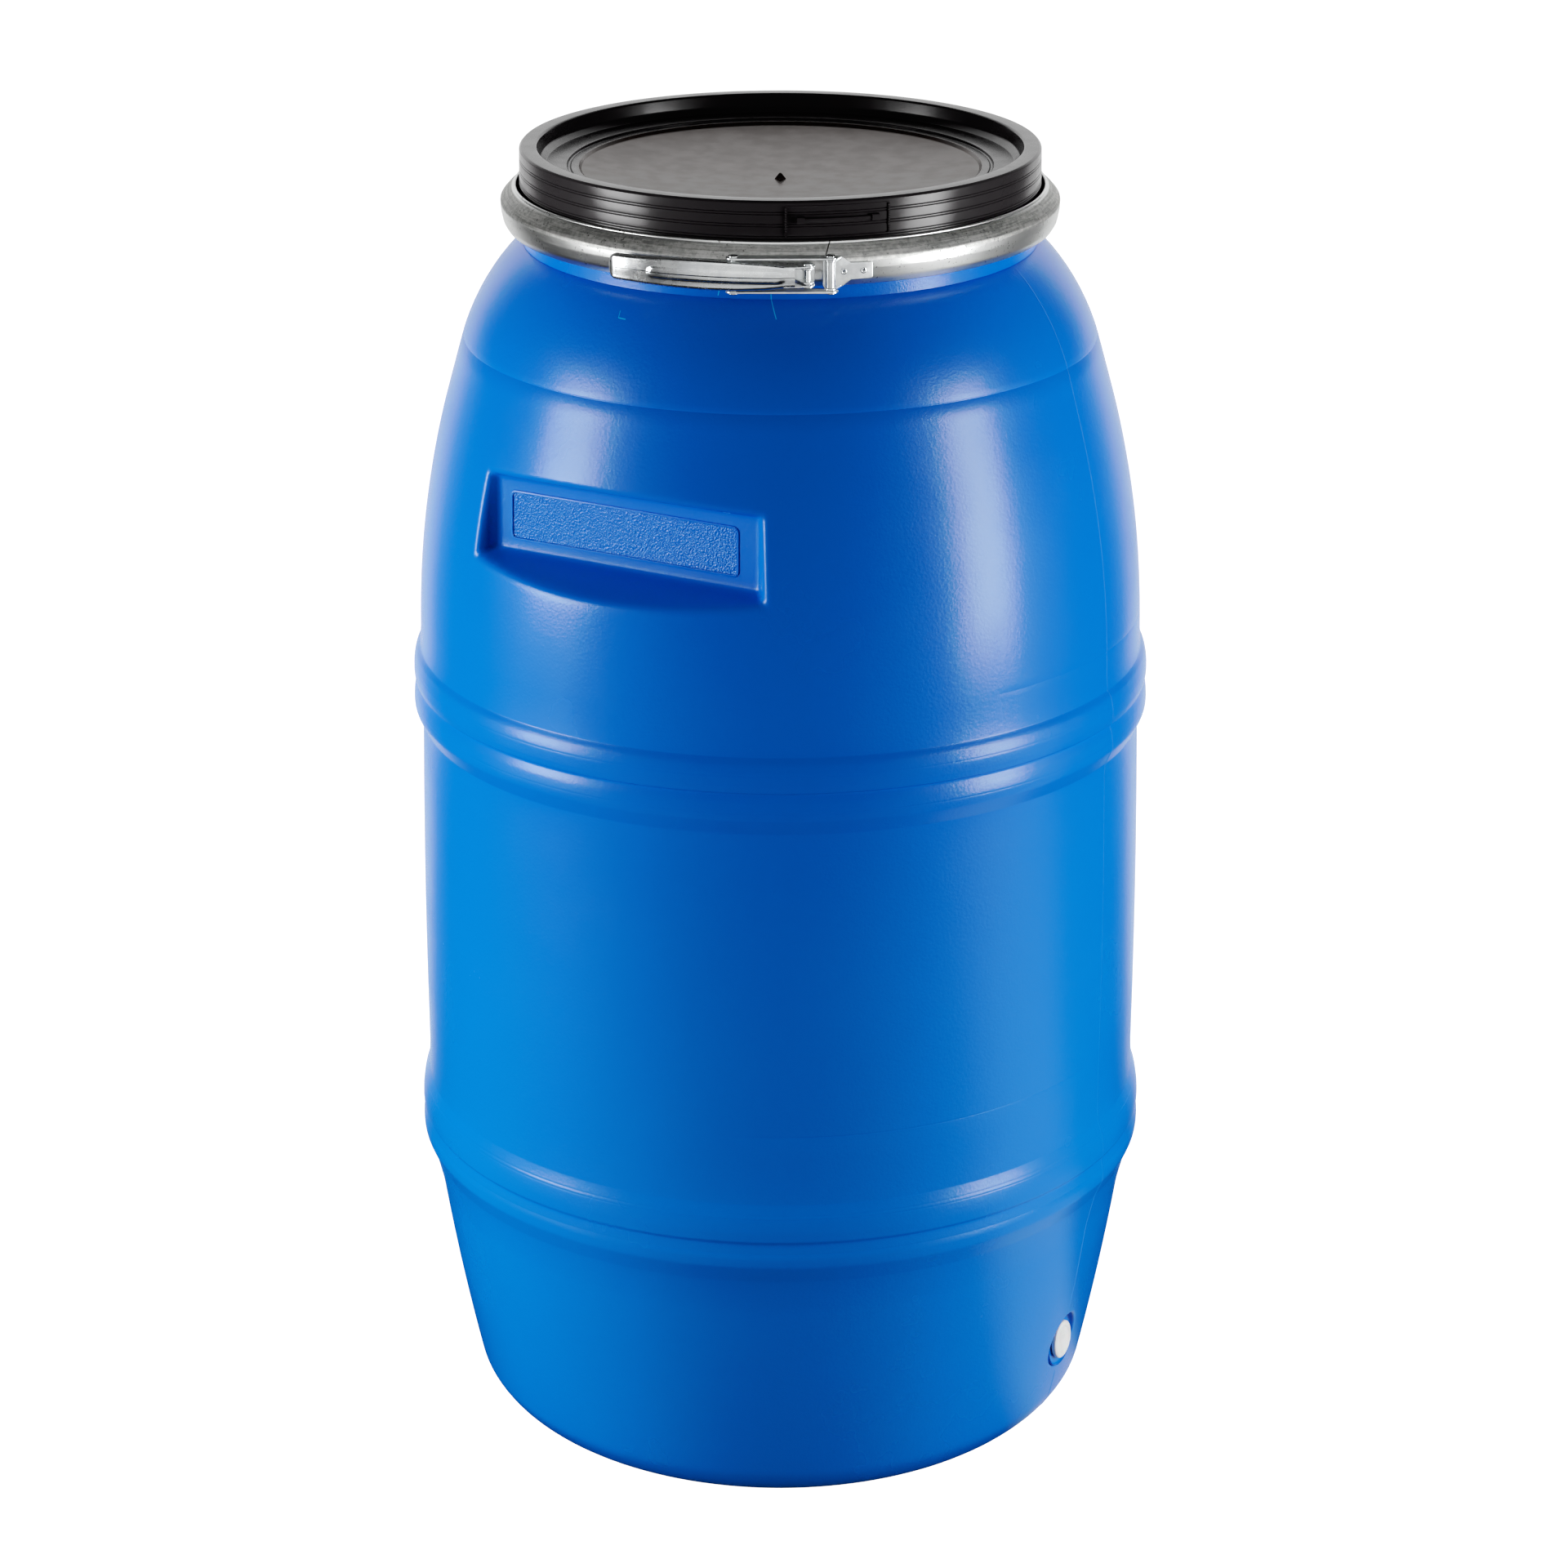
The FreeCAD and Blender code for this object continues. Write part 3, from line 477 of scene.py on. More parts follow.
def drum_plastic():
    """Blown polyethylene: deep blue, satin, with a fine leathery grain off the mould."""
    n = Nodes("drum_plastic")
    x, y, z = n.split()
    clouds = n.noise(2.6, 3)
    # Painted light and shade: the first blue pair (deep) is painted shade on the upper drum and the second
    # (thin) is painted light on the lower drum. The blend by height below stands in for lamp light, and the
    # clouds add random tone.
    deep = n.mix(n.span(clouds, 0.3, 0.7), (0.0004, 0.135, 0.575, 1), (0.0005, 0.147, 0.61, 1))
    thin = n.mix(n.span(clouds, 0.3, 0.7), (0.0004, 0.161, 0.62, 1), (0.0005, 0.173, 0.65, 1))
    painted_light_by_height = n.mix(n.span(z, 0.85, 0.15), deep, thin)
    speck = n.span(n.noise(260, 1), 0.78, 0.82)
    colour = n.mix(n.times(speck, 0.08), painted_light_by_height, (0.05, 0.28, 0.62, 1))
    colour = scratched(n, colour)
    grip_side = n.within(y, 0, 0.2425, 0.2415)
    facing = n.times(x, n.math("SIGN", n.times(y, -1.0)))
    panel = n.times(grip_side, n.within(facing, -0.003, 0.0989, 0.0985), n.within(z, 0.756, 0.0178, 0.0175))
    collar = n.times(n.span(z, 0.925, 0.935), n.span(z, 0.96, 0.95))
    grain = n.plus(n.noise(560, 2, 0.6), n.times(n.cells(400), 0.55))
    coarse = n.times(n.cells(700), n.math("MULTIPLY_ADD", panel, 2.2, n.times(collar, 0.3)))
    fine = n.bump(grain, 0.00009, 0.85)
    wavy = n.bump(n.noise(150, 1), 0.0001, 0.5, fine)
    dents = n.bump(n.noise(14, 1), 0.0009, 0.35, wavy)
    rubbed = n.span(n.noise(7, 4, 0.6), 0.45, 0.75, 0.0, 0.06)
    n.set(Base_Color=colour, Roughness=n.plus(rubbed, 0.235), IOR=1.5,
          Normal=n.bump(coarse, 0.00028, 0.8, dents))
    return n.material


def lid_plastic():
    """Black moulded lid: satin, browner on the disc, with flow marks round the gate."""
    n = Nodes("lid_plastic")
    x, y, _ = n.split()
    flow = n.noise(1.0, 5, 0.62, n.polar(3.0, 34.0, 8.0), 0.7)
    disc = n.span(n.hypot(x, y), 0.165, 0.158)
    streak = n.times(n.span(flow, 0.3, 0.75), disc)
    black = n.mix(disc, (0.034, 0.031, 0.033, 1), (0.038, 0.025, 0.021, 1))
    colour = n.mix(n.times(streak, 0.6), black, (0.052, 0.037, 0.031, 1))
    scuff = n.span(n.noise(35, 6, 0.7), 0.64, 0.74)
    colour = n.mix(n.times(scuff, 0.1), colour, (0.09, 0.088, 0.086, 1))
    satin = n.span(n.noise(60, 3), 0.3, 0.7, 0.20, 0.25)
    rough = n.math("MULTIPLY_ADD", disc, 0.08, satin)
    grain = n.bump(n.noise(900, 2, 0.6), 0.00002, 0.5)
    sheen = n.mix(disc, (1, 1, 1, 1), (1, 0.84, 0.76, 1))
    n.set(Base_Color=colour, Roughness=rough, IOR=1.52, Specular_Tint=sheen,
          Normal=n.bump(n.noise(30, 2), 0.0002, 0.2, grain))
    return n.material


def galvanised():
    """Hot-dip galvanised strip: matt mottled flange with dark pits, brighter rolled web."""
    n = Nodes("galvanised_strip")
    _, _, z = n.split()
    drawn = n.noise(1.0, 3, 0.6, n.polar(7.0, 700.0, 700.0))
    mottle = n.times(n.plus(drawn, n.noise(240, 4, 0.7)), 0.5)
    flange = n.span(z, 0.9675, 0.9700)
    rolled = n.span(z, 0.9795, 0.9808)
    matt = n.times(flange, n.math("SUBTRACT", 1.0, rolled))
    bright = n.mix(mottle, (0.66, 0.67, 0.66, 1), (0.84, 0.85, 0.84, 1))
    dull = n.mix(n.span(mottle, 0.38, 0.62), (0.33, 0.335, 0.325, 1), (0.60, 0.60, 0.585, 1))
    flecks = n.times(n.span(n.noise(420, 2, 0.6), 0.63, 0.67), n.span(n.noise(26, 1), 0.4, 0.6))
    colour = n.mix(n.times(flecks, 0.8), n.mix(matt, bright, dull), (0.10, 0.10, 0.095, 1))
    rough = n.math("MULTIPLY_ADD", matt, 0.16, n.span(mottle, 0.3, 0.7, 0.30, 0.38, False))
    pits = n.bump(flecks, 0.0001, 0.5)
    n.set(Base_Color=colour, Metallic=1.0, Roughness=rough,
          Normal=n.bump(n.plus(drawn, n.noise(160, 2)), 0.00004, 0.5, pits))
    return n.material


def bright_zinc(name, rough, streaks):
    """Bright zinc plate with faint drawing streaks and handling marks."""
    n = Nodes(name)
    drawn = n.noise(1.0, 4, 0.6, n.polar(14.0, 260.0, 260.0))
    mottled = n.noise(70, 4, 0.65)
    base = n.mix(n.span(mottled, 0.35, 0.65), (0.70, 0.72, 0.73, 1), (0.84, 0.86, 0.86, 1))
    stain = n.span(n.noise(180, 3, 0.6), 0.66, 0.72)
    colour = n.mix(n.times(stain, 0.3), base, (0.34, 0.35, 0.36, 1))
    spread = n.span(mottled, 0.3, 0.7, rough - 0.03, rough + 0.06, False)
    n.set(Base_Color=colour, Metallic=1.0, Roughness=spread,
          Normal=n.bump(n.plus(drawn, n.times(mottled, 0.2)), 0.00005, streaks))
    return n.material


def plug_plastic():
    n = Nodes("plug_plastic")
    colour = n.mix(n.span(n.noise(90, 3), 0.4, 0.7), (0.80, 0.80, 0.79, 1), (0.72, 0.715, 0.70, 1))
    n.set(Base_Color=colour, Roughness=n.span(n.noise(200, 2), 0.3, 0.7, 0.30, 0.42, False),
          Subsurface_Weight=0.15, Subsurface_Scale=0.002,
          Normal=n.bump(n.noise(500, 2), 0.00004, 0.5))
    return n.material


def seal_rubber():
    n = Nodes("seal_rubber")
    bloom = n.span(n.noise(120, 4, 0.65), 0.45, 0.75)
    colour = n.mix(bloom, (0.018, 0.018, 0.018, 1), (0.045, 0.044, 0.042, 1))
    n.set(Base_Color=colour, Roughness=n.span(bloom, 0, 1, 0.62, 0.8, False),
          Normal=n.bump(n.noise(1200, 2), 0.00005, 0.7))
    return n.material


DRUM_BLUE = drum_plastic()
LID_BLACK = lid_plastic()
GALVANISED = galvanised()
LEVER_ZINC = bright_zinc("lever_zinc", 0.25, 0.3)
FITTING_ZINC = bright_zinc("zinc_fittings", 0.31, 0.3)
RIVET_STEEL = bright_zinc("rivet_steel", 0.20, 0.2)
PLUG_WHITE = plug_plastic()
SEAL_BLACK = seal_rubber()


# ---------------------------------------------------------------- drum shell

WALL = 4.5
NECK_START = 934
PLUG_AZIMUTH = 90
FOOT = [
    (0, 14), (186, 14, 6), (205, 0, 6), (222, 0, 3),
]
LOW_HOOP = [
    (276.5, 172), (283.6, 197, 5), (290.4, 211, 9), (290.8, 217.5, 6), (289.0, 227.6, 0.4),
    (289.0, 229.2, 0.3), (290.9, 231.6, 1.2), (290.9, 239, 20), (289.5, 248.6, 12), (286.1, 258.9, 0.5),
    (285.4, 276),
]
TOP_HOOP = [
    (288.5, 540), (289.1, 549.4, 0.8), (295.3, 561.5, 9), (295.6, 567.5, 18), (294.9, 575.6, 18),
    (293.1, 580.2, 0.4), (293.1, 582.0, 0.3), (294.8, 583.2, 0.5), (295.6, 588, 3), (295.6, 596.5, 20),
    (294.1, 604.4, 20), (290.8, 609.0, 0.5), (290, 622),
]
NECK = [
    (206.5, 936.5), (206.5, 951, 1.2), (216, 951, 1.2), (216, 960, 1.5), (200.5, 960, 2),
    (200.5, 1003, 1.8), (195.6, 1003, 1.8), (195.6, 938),
]
MOULD_LINES = [
    # height, depth in mm, azimuths between which it shows
    (596.6, 0.10, -360, 360),
    (567.7, 0.10, -360, 360),
    (251.0, 0.12, -360, 360),
    (248.4, 0.12, -360, 360),
    (221.8, 0.14, -360, 360),
    (860.6, 0.45, -360, 360),
    (640.0, 0.20, 62, 118),
    (312.0, 0.22, 20, 88),
    (312.0, 0.18, 200, 260),
]
GRIP_TURNS = (0, 180)
GRIP_FACE = 240
GRIP_MIDDLE = 756
GRIP_HALF_WIDTH = 116
# Each side of a grip pocket leans out by its slope per millimetre from the grip's face.
END_SLOPE = 0.75
FOOT_LEVEL, FOOT_SLOPE = 728, 0.267
TOP_LEVEL, TOP_SLOPE = 786, 0.283


def barrel_outline():
    """The drum's outside from the centre of its base to the collar, then the neck and rim."""
    outline = list(rounded(FOOT + [(234, 8)], closed=False))[:-1]
    outline += bow((222, 0), (236.5, 10.5), (245, 23), 14)[2:]
    outline += bow((245, 23), (263.4, 103), (276.5, 172))[1:]
    outline += list(rounded(LOW_HOOP, closed=False))[1:]
    outline += bow((285.4, 276), (288.1, 400), (288.5, 540))[1:]
    outline += list(rounded(TOP_HOOP, closed=False))[1:]
    outline += bow((290, 622), (285.8, 711), (269, 806))[1:]
    outline += [(254.8, 860)]
    outline += bow((254.8, 860), (241.2, 893), (223.3, 920), 24)[1:]
    outline += bow((223.3, 920), (215.3, 929), (207.2, 936.3), 12)[1:] + [(206.5, 936.5)]
    return np.array(outline), rounded(NECK, closed=False)


def eased(points, softness):
    """Evens a polyline to short steps and eases its corners over a softness given per height."""
    length = np.concatenate([[0], np.cumsum(np.linalg.norm(np.diff(points, axis=0), axis=1))])
    at = np.linspace(0, length[-1], int(length[-1] / 0.4))
    fine = np.stack([np.interp(at, length, points[:, k]) for k in (0, 1)], -1)
    result = fine.copy()
    step = at[1] - at[0]
    for index in range(1, len(fine) - 1):
        spread = softness(fine[index])
        reach = int(min(index, len(fine) - 1 - index, math.ceil(3 * spread / step)))
        if reach < 1:
            continue
        weight = np.exp(-0.5 * (np.arange(-reach, reach + 1) * step / spread) ** 2)
        window = fine[index - reach:index + reach + 1]
        result[index] = (window * weight[:, None]).sum(0) / weight.sum()
    return result


def barrel_softness(point):
    heights = [0, 24, 120, 170, 180, 268, 282, 530, 545, 615, 630, 700, 790, 850, 861, 872, 900, 926, 934]
    spreads = [0.4, 3, 6, 4, 0.4, 0.4, 6, 6, 0.4, 0.4, 5, 6, 9, 5, 1.6, 6, 6, 4, 0.3]
    if point[0] < 224 and point[1] < 15:
        return 0.4
    return np.interp(point[1], heights, spreads)


def picked(points, crowd, turn_step=5.5):
    """Keeps fewer points: close together on bends and where crowd says, and far apart elsewhere."""
    run = np.diff(points, axis=0)
    length = np.linalg.norm(run, axis=1)
    heading = np.degrees(np.unwrap(np.arctan2(run[:, 1], run[:, 0])))
    bend = np.concatenate([[0], np.abs(np.diff(heading))]) / turn_step
    load = np.cumsum(length * np.array([crowd(point) for point in points[:-1]]) + bend)
    load = np.concatenate([[0], load])
    marks = np.linspace(0, load[-1], int(load[-1]) + 1)
    return np.stack([np.interp(marks, load, points[:, k]) for k in (0, 1)], -1)


def row_crowd(point):
    height = point[1]
    crowd = 1 / 22
    if 700 < height < 812:
        crowd = 1 / 5
    if 711 < height < 731 or 782 < height < 801:
        crowd = 1 / 1.05
    if 38 < height < 106:
        crowd = 1 / 4.2
    for line in MOULD_LINES:
        if abs(height - line[0]) < 1.1:
            crowd = 1 / 0.45
    if point[0] < 200 and height < 15:
        crowd = 1 / 24
    return crowd


def columns():
    """Azimuths of the shell's columns, close together at grip ends, parting lines and plug."""
    at = np.arange(-180, 180, 0.05)
    crowd = np.full(len(at), 1 / 2.4)
    off_grip = np.abs((at + 90) % 180 - 90)
    off_parting = np.abs(at % 180 - 90)
    crowd[(off_grip > 24.4) & (off_grip < 29.4)] = 1 / 0.32
    crowd[np.abs(at - 90) < 7.5] = 1 / 0.75
    crowd[off_parting < 0.4] = 1 / 0.1
    load = np.concatenate([[0], np.cumsum(crowd * 0.05)])
    count = int(load[-1])
    return np.interp(np.arange(count) * load[-1] / count, load, np.append(at, 180))


def soft_max(a, b, reach):
    blend = np.maximum(reach - np.abs(a - b), 0) / reach
    return np.maximum(a, b) + blend * blend * reach / 4


def pressed_in(radius, azimuth, height, grow, lip):
    """The radius of the wall once the two grip pockets are pressed into it."""
    result = radius.copy()
    for turn in GRIP_TURNS:
        off = np.radians((azimuth - turn + 180) % 360 - 180)
        near = (np.abs(off) < math.radians(37)) & (height > 690) & (height < 825)
        reach, angle, level = radius[near], off[near], height[near]
        inner = np.full(reach.shape, 225.0)
        outer = np.full(reach.shape, 305.0)
        for _ in range(26):
            try_at = (inner + outer) / 2
            deep = try_at * np.cos(angle) - GRIP_FACE
            side = np.abs(try_at * np.sin(angle))
            panel = -grow - deep
            end = (side - GRIP_HALF_WIDTH - END_SLOPE * deep) / math.hypot(1, END_SLOPE) - grow
            foot = (FOOT_LEVEL - level - FOOT_SLOPE * deep) / math.hypot(1, FOOT_SLOPE) - grow
            top = (level - TOP_LEVEL - TOP_SLOPE * deep) / math.hypot(1, TOP_SLOPE) - grow
            pocket = soft_max(soft_max(panel, end, 3.0), soft_max(foot, top, 0.5), 4.0)
            solid = soft_max(try_at - reach, -pocket, lip)
            inner = np.where(solid < 0, try_at, inner)
            outer = np.where(solid < 0, outer, try_at)
        result[near] = inner
    return result


def mould_marks(radius, azimuth, height):
    """Adds the parting line at each side and the faint lines across the mould."""
    off = np.abs(azimuth % 180 - 90) * np.pi / 180 * radius
    upright = (height > 12) & (height < 930)
    result = radius + 0.3 * np.exp(-(off / 0.5) ** 2) * upright
    for level, depth, start, end in MOULD_LINES:
        turned = (azimuth - start) % 360 + start
        fade = 1.0
        if end - start < 360:
            fade = np.clip(np.minimum(turned - start, end - turned) / 9, 0, 1)
        result = result - depth * fade * np.exp(-((height - level) / 0.55) ** 2)
    return result


def nearest(values, target):
    return int(np.argmin(np.abs(np.asarray(values) - target)))


def nearest_wall(rows, height):
    """The row of the upright wall nearest to a height, leaving out the drum's base."""
    return nearest(rows[:, 1] + 1e3 * (rows[:, 0] < 230), height)


def plug_port(window, barrel_x):
    """Rings of points from the window into the recess, through the hole and out inside."""
    across, up = window[:, 1], window[:, 2] - PLUG_HEIGHT
    around = np.arctan2(up, across)
    reach = np.hypot(across, up)
    rings = [(reach + (23.4 - reach) * share, None, 0) for share in (0.3, 0.6, 0.85)]
    rings += [(23.4, None, 0), (22.4, None, 0.08), (21.6, None, 0.45), (21.0, None, 1.1), (20.7, None, 2.0)]
    rings += [(20.5, 254.4, 0), (20.2, 253.2, 0), (19.3, 252.6, 0), (17.5, 252.5, 0), (13, 252.5, 0)]
    rings += [(10.7, 252.5, 0), (10.15, 252.1, 0), (10.08, 250, 0), (10.08, 247, 0), (10.6, 246.5, 0)]
    rings += [(16, 246.5, 0), (23, 246.5, 0), (24.5, 247.4, 0), (24.8, 250.5, 0)]
    points = []
    for radius, depth_x, sink in rings:
        y = radius * np.cos(around)
        z = radius * np.sin(around) + PLUG_HEIGHT
        x = barrel_x(y, z) - sink if depth_x is None else np.full(len(around), float(depth_x))
        points.append(np.stack([x, y, z], -1))
    return points


def window_loop(first_row, last_row, first_column, last_column, columns_count):
    """Indices round a rectangular window of the grid."""
    rows = list(range(first_row, last_row + 1))
    cols = list(range(first_column, last_column + 1))
    loop = [(rows[0], column) for column in cols]
    loop += [(row, cols[-1]) for row in rows[1:]]
    loop += [(rows[-1], column) for column in reversed(cols[:-1])]
    loop += [(row, cols[0]) for row in reversed(rows[1:-1])]
    return [row * columns_count + column for row, column in loop]


def inner_wall(smooth, heights):
    """Rows of the wall's inside, with the given heights kept where the plug's window is."""
    inward = np.gradient(smooth, axis=0)
    inward = np.stack([-inward[:, 1], inward[:, 0]], -1)
    inward /= np.linalg.norm(inward, axis=1)[:, None]
    wall = eased(smooth + inward * WALL, lambda point: 5.0)
    wall = wall[(wall[:, 1] > WALL - 0.2) & (wall[:, 1] < NECK_START)]
    upright = wall[:, 0] > 230
    in_base = ~upright & (wall[:, 1] < 40)
    window = np.stack([np.interp(heights, wall[:, 1][upright], wall[:, 0][upright]), heights], -1)
    below = wall[(wall[:, 1] < heights[0] - 2) | in_base]
    above = wall[(wall[:, 1] > heights[-1] + 2) & ~in_base]
    crowd = lambda point: 1 / 5 if 700 < point[1] < 812 else 1 / 34
    inside = np.concatenate([picked(below, crowd, 22), window, picked(above, crowd, 22)])
    inside[0] = (0, inside[1, 1])
    return inside


def make_drum_shell():
    """One closed skin: the outside up, over the rim, and the inside down, with the plug's port."""
    barrel, neck = barrel_outline()
    smooth = eased(barrel, barrel_softness)
    outside = picked(smooth, row_crowd)
    outside[0] = (0, 14)
    azimuth = columns()
    count = len(azimuth)
    first, last = (nearest(azimuth, PLUG_AZIMUTH + side * 6.6) for side in (-1, 1))
    bottom = nearest_wall(outside, 41)
    top = nearest(outside[:, 1], 2 * PLUG_HEIGHT - outside[bottom, 1])
    heights = outside[bottom:top + 1, 1]
    inside = inner_wall(smooth, heights)
    rows = np.concatenate([outside, neck[1:], inside[::-1]])
    radius = np.repeat(rows[:, :1], count, 1)
    height = np.repeat(rows[:, 1:], count, 1)
    angle = np.repeat(azimuth[None, :], len(rows), 0)
    outer = slice(0, len(outside))
    inner = slice(len(outside) + len(neck) - 1, None)
    pressed = pressed_in(radius[outer], angle[outer], height[outer], 0, 6.0)
    radius[outer] = mould_marks(pressed, angle[outer], height[outer])
    radius[inner] = pressed_in(radius[inner], angle[inner], height[inner], WALL, 9.0)
    radius[0] = 0
    radius[-1] = 0
    points = on_circle(radius, angle, height).reshape(-1, 3)
    inner_last = len(rows) - 1 - nearest_wall(inside, heights[0])
    inner_first = inner_last - (top - bottom)

    def in_window(row, column):
        return first <= column < last and (bottom <= row < top or inner_first <= row < inner_last)

    faces = grid_faces(len(rows), count, wrap_columns=True, skip=in_window)
    outer_loop = window_loop(bottom, top, first, last, count)
    inner_loop = [(inner_last + bottom - index // count) * count + index % count for index in outer_loop]
    upright = smooth[smooth[:, 0] > 230]

    def barrel_x(y, z):
        return np.sqrt(np.interp(z, upright[:, 1], upright[:, 0]) ** 2 - y ** 2)

    rings = plug_port(points[outer_loop], barrel_x)
    size = len(outer_loop)
    starts = [len(points) + k * size for k in range(len(rings))]
    indices = [outer_loop] + [list(range(start, start + size)) for start in starts] + [inner_loop]
    for here, after in zip(indices[:-1], indices[1:]):
        for k in range(size):
            beside = (k + 1) % size
            faces.append((here[k], here[beside], after[beside], after[k]))
    shell = make_object("drum_shell_body", np.concatenate([points] + rings), faces, 60)
    finish_piece(shell, "drum", DRUM_BLUE, "drum_shell")


def make_grip_frames():
    """The plain raised frame on each grip panel, with rounded corners."""
    outer = [(-104, -19.8, 5), (98, -19.8, 5), (98, 19.8, 5), (-104, 19.8, 5)]
    inner = [(-101.9, -17.7, 3.4), (95.9, -17.7, 3.4), (95.9, 17.7, 3.4), (-101.9, 17.7, 3.4)]
    for name, turn in zip(("front", "rear"), GRIP_TURNS):
        bars = plate("grip_frame_" + name, [rounded(outer), rounded(inner)], 1.6, 0.55, 70)
        move(bars, Matrix.Rotation(math.radians(turn), 4, "Z") @
             Matrix.Translation(Vector((0, -GRIP_FACE, GRIP_MIDDLE)) * MM) @
             Matrix.Rotation(math.radians(90), 4, "X"))
        finish_piece(bars, "drum", DRUM_BLUE)


# ---------------------------------------------------------------- drain plug

def make_plug():
    seat = low("drain_plug_washer")[0]
    head = PLUG_FRONT
    cap = [(0.05, seat - 13.8), (8.4, seat - 13.8, 1), (10, seat - 10.8, 1), (10, seat + 1.2, 0.4),
           (14.5, seat + 1.2, 0.5), (14.5, head - 1.0, 1.3), (12.4, head, 1.2), (10.6, head - 0.35, 0.5),
           (9.6, head - 0.9, 0.6), (0.05, head - 1.1)]
    washer = [(10.1, seat + 0.02, 0.3), (13.4, seat + 0.02, 0.3), (13.4, seat + 1.18, 0.3),
              (10.1, seat + 1.18, 0.3)]
    for name, outline, material, node in (("drain_plug_cap", cap, PLUG_WHITE, "drain_plug"),
                                          ("drain_plug_seal", washer, SEAL_BLACK, "drain_plug_washer")):
        piece = turn_to(lathe(name, rounded(outline), 96), (1, 0, 0))
        place(piece, (0, 0, PLUG_HEIGHT))
        finish_piece(piece, "plug", material, node)


# ---------------------------------------------------------------- lid

SKIRT = 208.7
SKIRT_LINES = (1003.2, 993.9, 984.6)


def skirt_line(level):
    """A band of two fine lines round the skirt, from above downwards."""
    points = []
    for offset in (1.15, -0.75):
        points += [(SKIRT + 0.15, level + offset + 0.5, 0.15), (SKIRT - 0.75, level + offset, 0.15),
                   (SKIRT + 0.15, level + offset - 0.5, 0.15)]
    return points


def make_lid():
    top = LID_TOP
    dish = [(r, 983 + 10.2 * (r / 159) ** 2) for r in (8, 30, 52, 74, 95, 116, 137, 150)]
    upper = [(0.05, 983)] + dish + [
        (159.0, top - 19.6, 0.9), (161.3, top - 17.1, 1.2), (167.4, top - 17.1, 0.8),
        (168.2, top - 18.2, 0.7), (169.9, top - 18.2, 0.7), (170.6, top - 15.9, 1.2),
        (187.4, top - 14.7, 2.4), (192.4, top - 10.8, 3), (194.8, top, 2.3),
        (207.2, top, 1.3),
        (SKIRT + 0.1, top - 1.7, 0.8),
    ]
    for level in SKIRT_LINES:
        upper += skirt_line(level)
    lower = [
        (SKIRT + 0.9, 977, 3), (216, 970.5, 2.2), (216, 961.6, 1), (203.5, 961.6, 0.8), (203.4, top - 3.2, 1),
        (197.4, top - 3.2, 1), (191.5, top - 17.9, 2), (161.5, top - 20.2, 1), (159, top - 22.8, 1),
    ]
    under = [(r, h - 3.2) for r, h in reversed(dish)] + [(0.05, 979.8)]
    body = lathe("lid_cap", rounded(upper + lower + under), 288, 50)
    mid = GAP_AZIMUTH + 2.9
    parts = [body]
    for azimuth in (mid - 11.0, mid + 11.0):
        notches = []
        for index in range(25):
            level = 985.6 + index * 0.94
            proud = SKIRT + (1.5 if index % 2 else 1.0)
            span = [azimuth - 0.26, azimuth - 0.17, azimuth + 0.17, azimuth + 0.26]
            ring = [on_circle(r, a, level) for r, a in
                    zip((SKIRT - 0.9, proud, proud, SKIRT - 0.9), span)]
            notches.append(np.array(ring))
        parts.append(loft("rib", notches, 30))
    steps = np.linspace(mid - 8.75, mid + 8.75, 37)
    bar = rounded([(SKIRT - 0.9, 996.6), (SKIRT + 1.9, 996.5, 0.8), (SKIRT + 2.3, 999.6, 0.8),
                   (SKIRT - 0.9, 1000.3)])
    parts.append(swept("bar", bar, steps))
    for end in (mid - 7.9, mid + 7.9):
        pad = rounded([(SKIRT - 0.9, 995.6), (SKIRT + 2.9, 995.7, 0.8), (SKIRT + 3.0, 1000.6, 0.8),
                       (SKIRT - 0.9, 1001.2)])
        parts.append(swept("pad", pad, np.linspace(end - 0.8, end + 0.8, 5)))
    edge = rounded([(SKIRT - 0.6, 1008.0), (SKIRT + 0.5, 1008.2, 0.4), (SKIRT + 0.5, 1009.2, 0.4),
                    (SKIRT - 0.6, 1009.4)])
    parts.append(swept("edge", edge, np.linspace(mid - 11.1, mid + 11.1, 41)))
    corners = [math.radians(29 + turn) for turn in (0, 90, 180, 270)]
    stub = [np.array([(half * math.sin(t), -half * math.cos(t), 982.6 + rise) for t in corners])
            for half, rise in ((4.7, 0), (4.3, 0.9), (1.0, 5.0), (0.4, 5.4))]
    parts.append(loft("gate", stub, 30))
    lid = joined("lid_cover", parts)
    shade(lid, 50)
    finish_piece(lid, "lid", LID_BLACK, "lid")
    gasket_low, gasket_high = low("lid_gasket")[2], high("lid_gasket")[2]
    outer = high("lid_gasket")[0]
    gasket = lathe("lid_seal", rounded([
        (outer - 4.85, gasket_low + 0.02, 1.2), (outer - 0.05, gasket_low + 0.02, 1.2),
        (outer - 0.05, gasket_high - 0.02, 1.2), (outer - 4.85, gasket_high - 0.02, 1.2),
    ]), 256)
    finish_piece(gasket, "lid", SEAL_BLACK, "lid_gasket")


# ---------------------------------------------------------------- closure ring

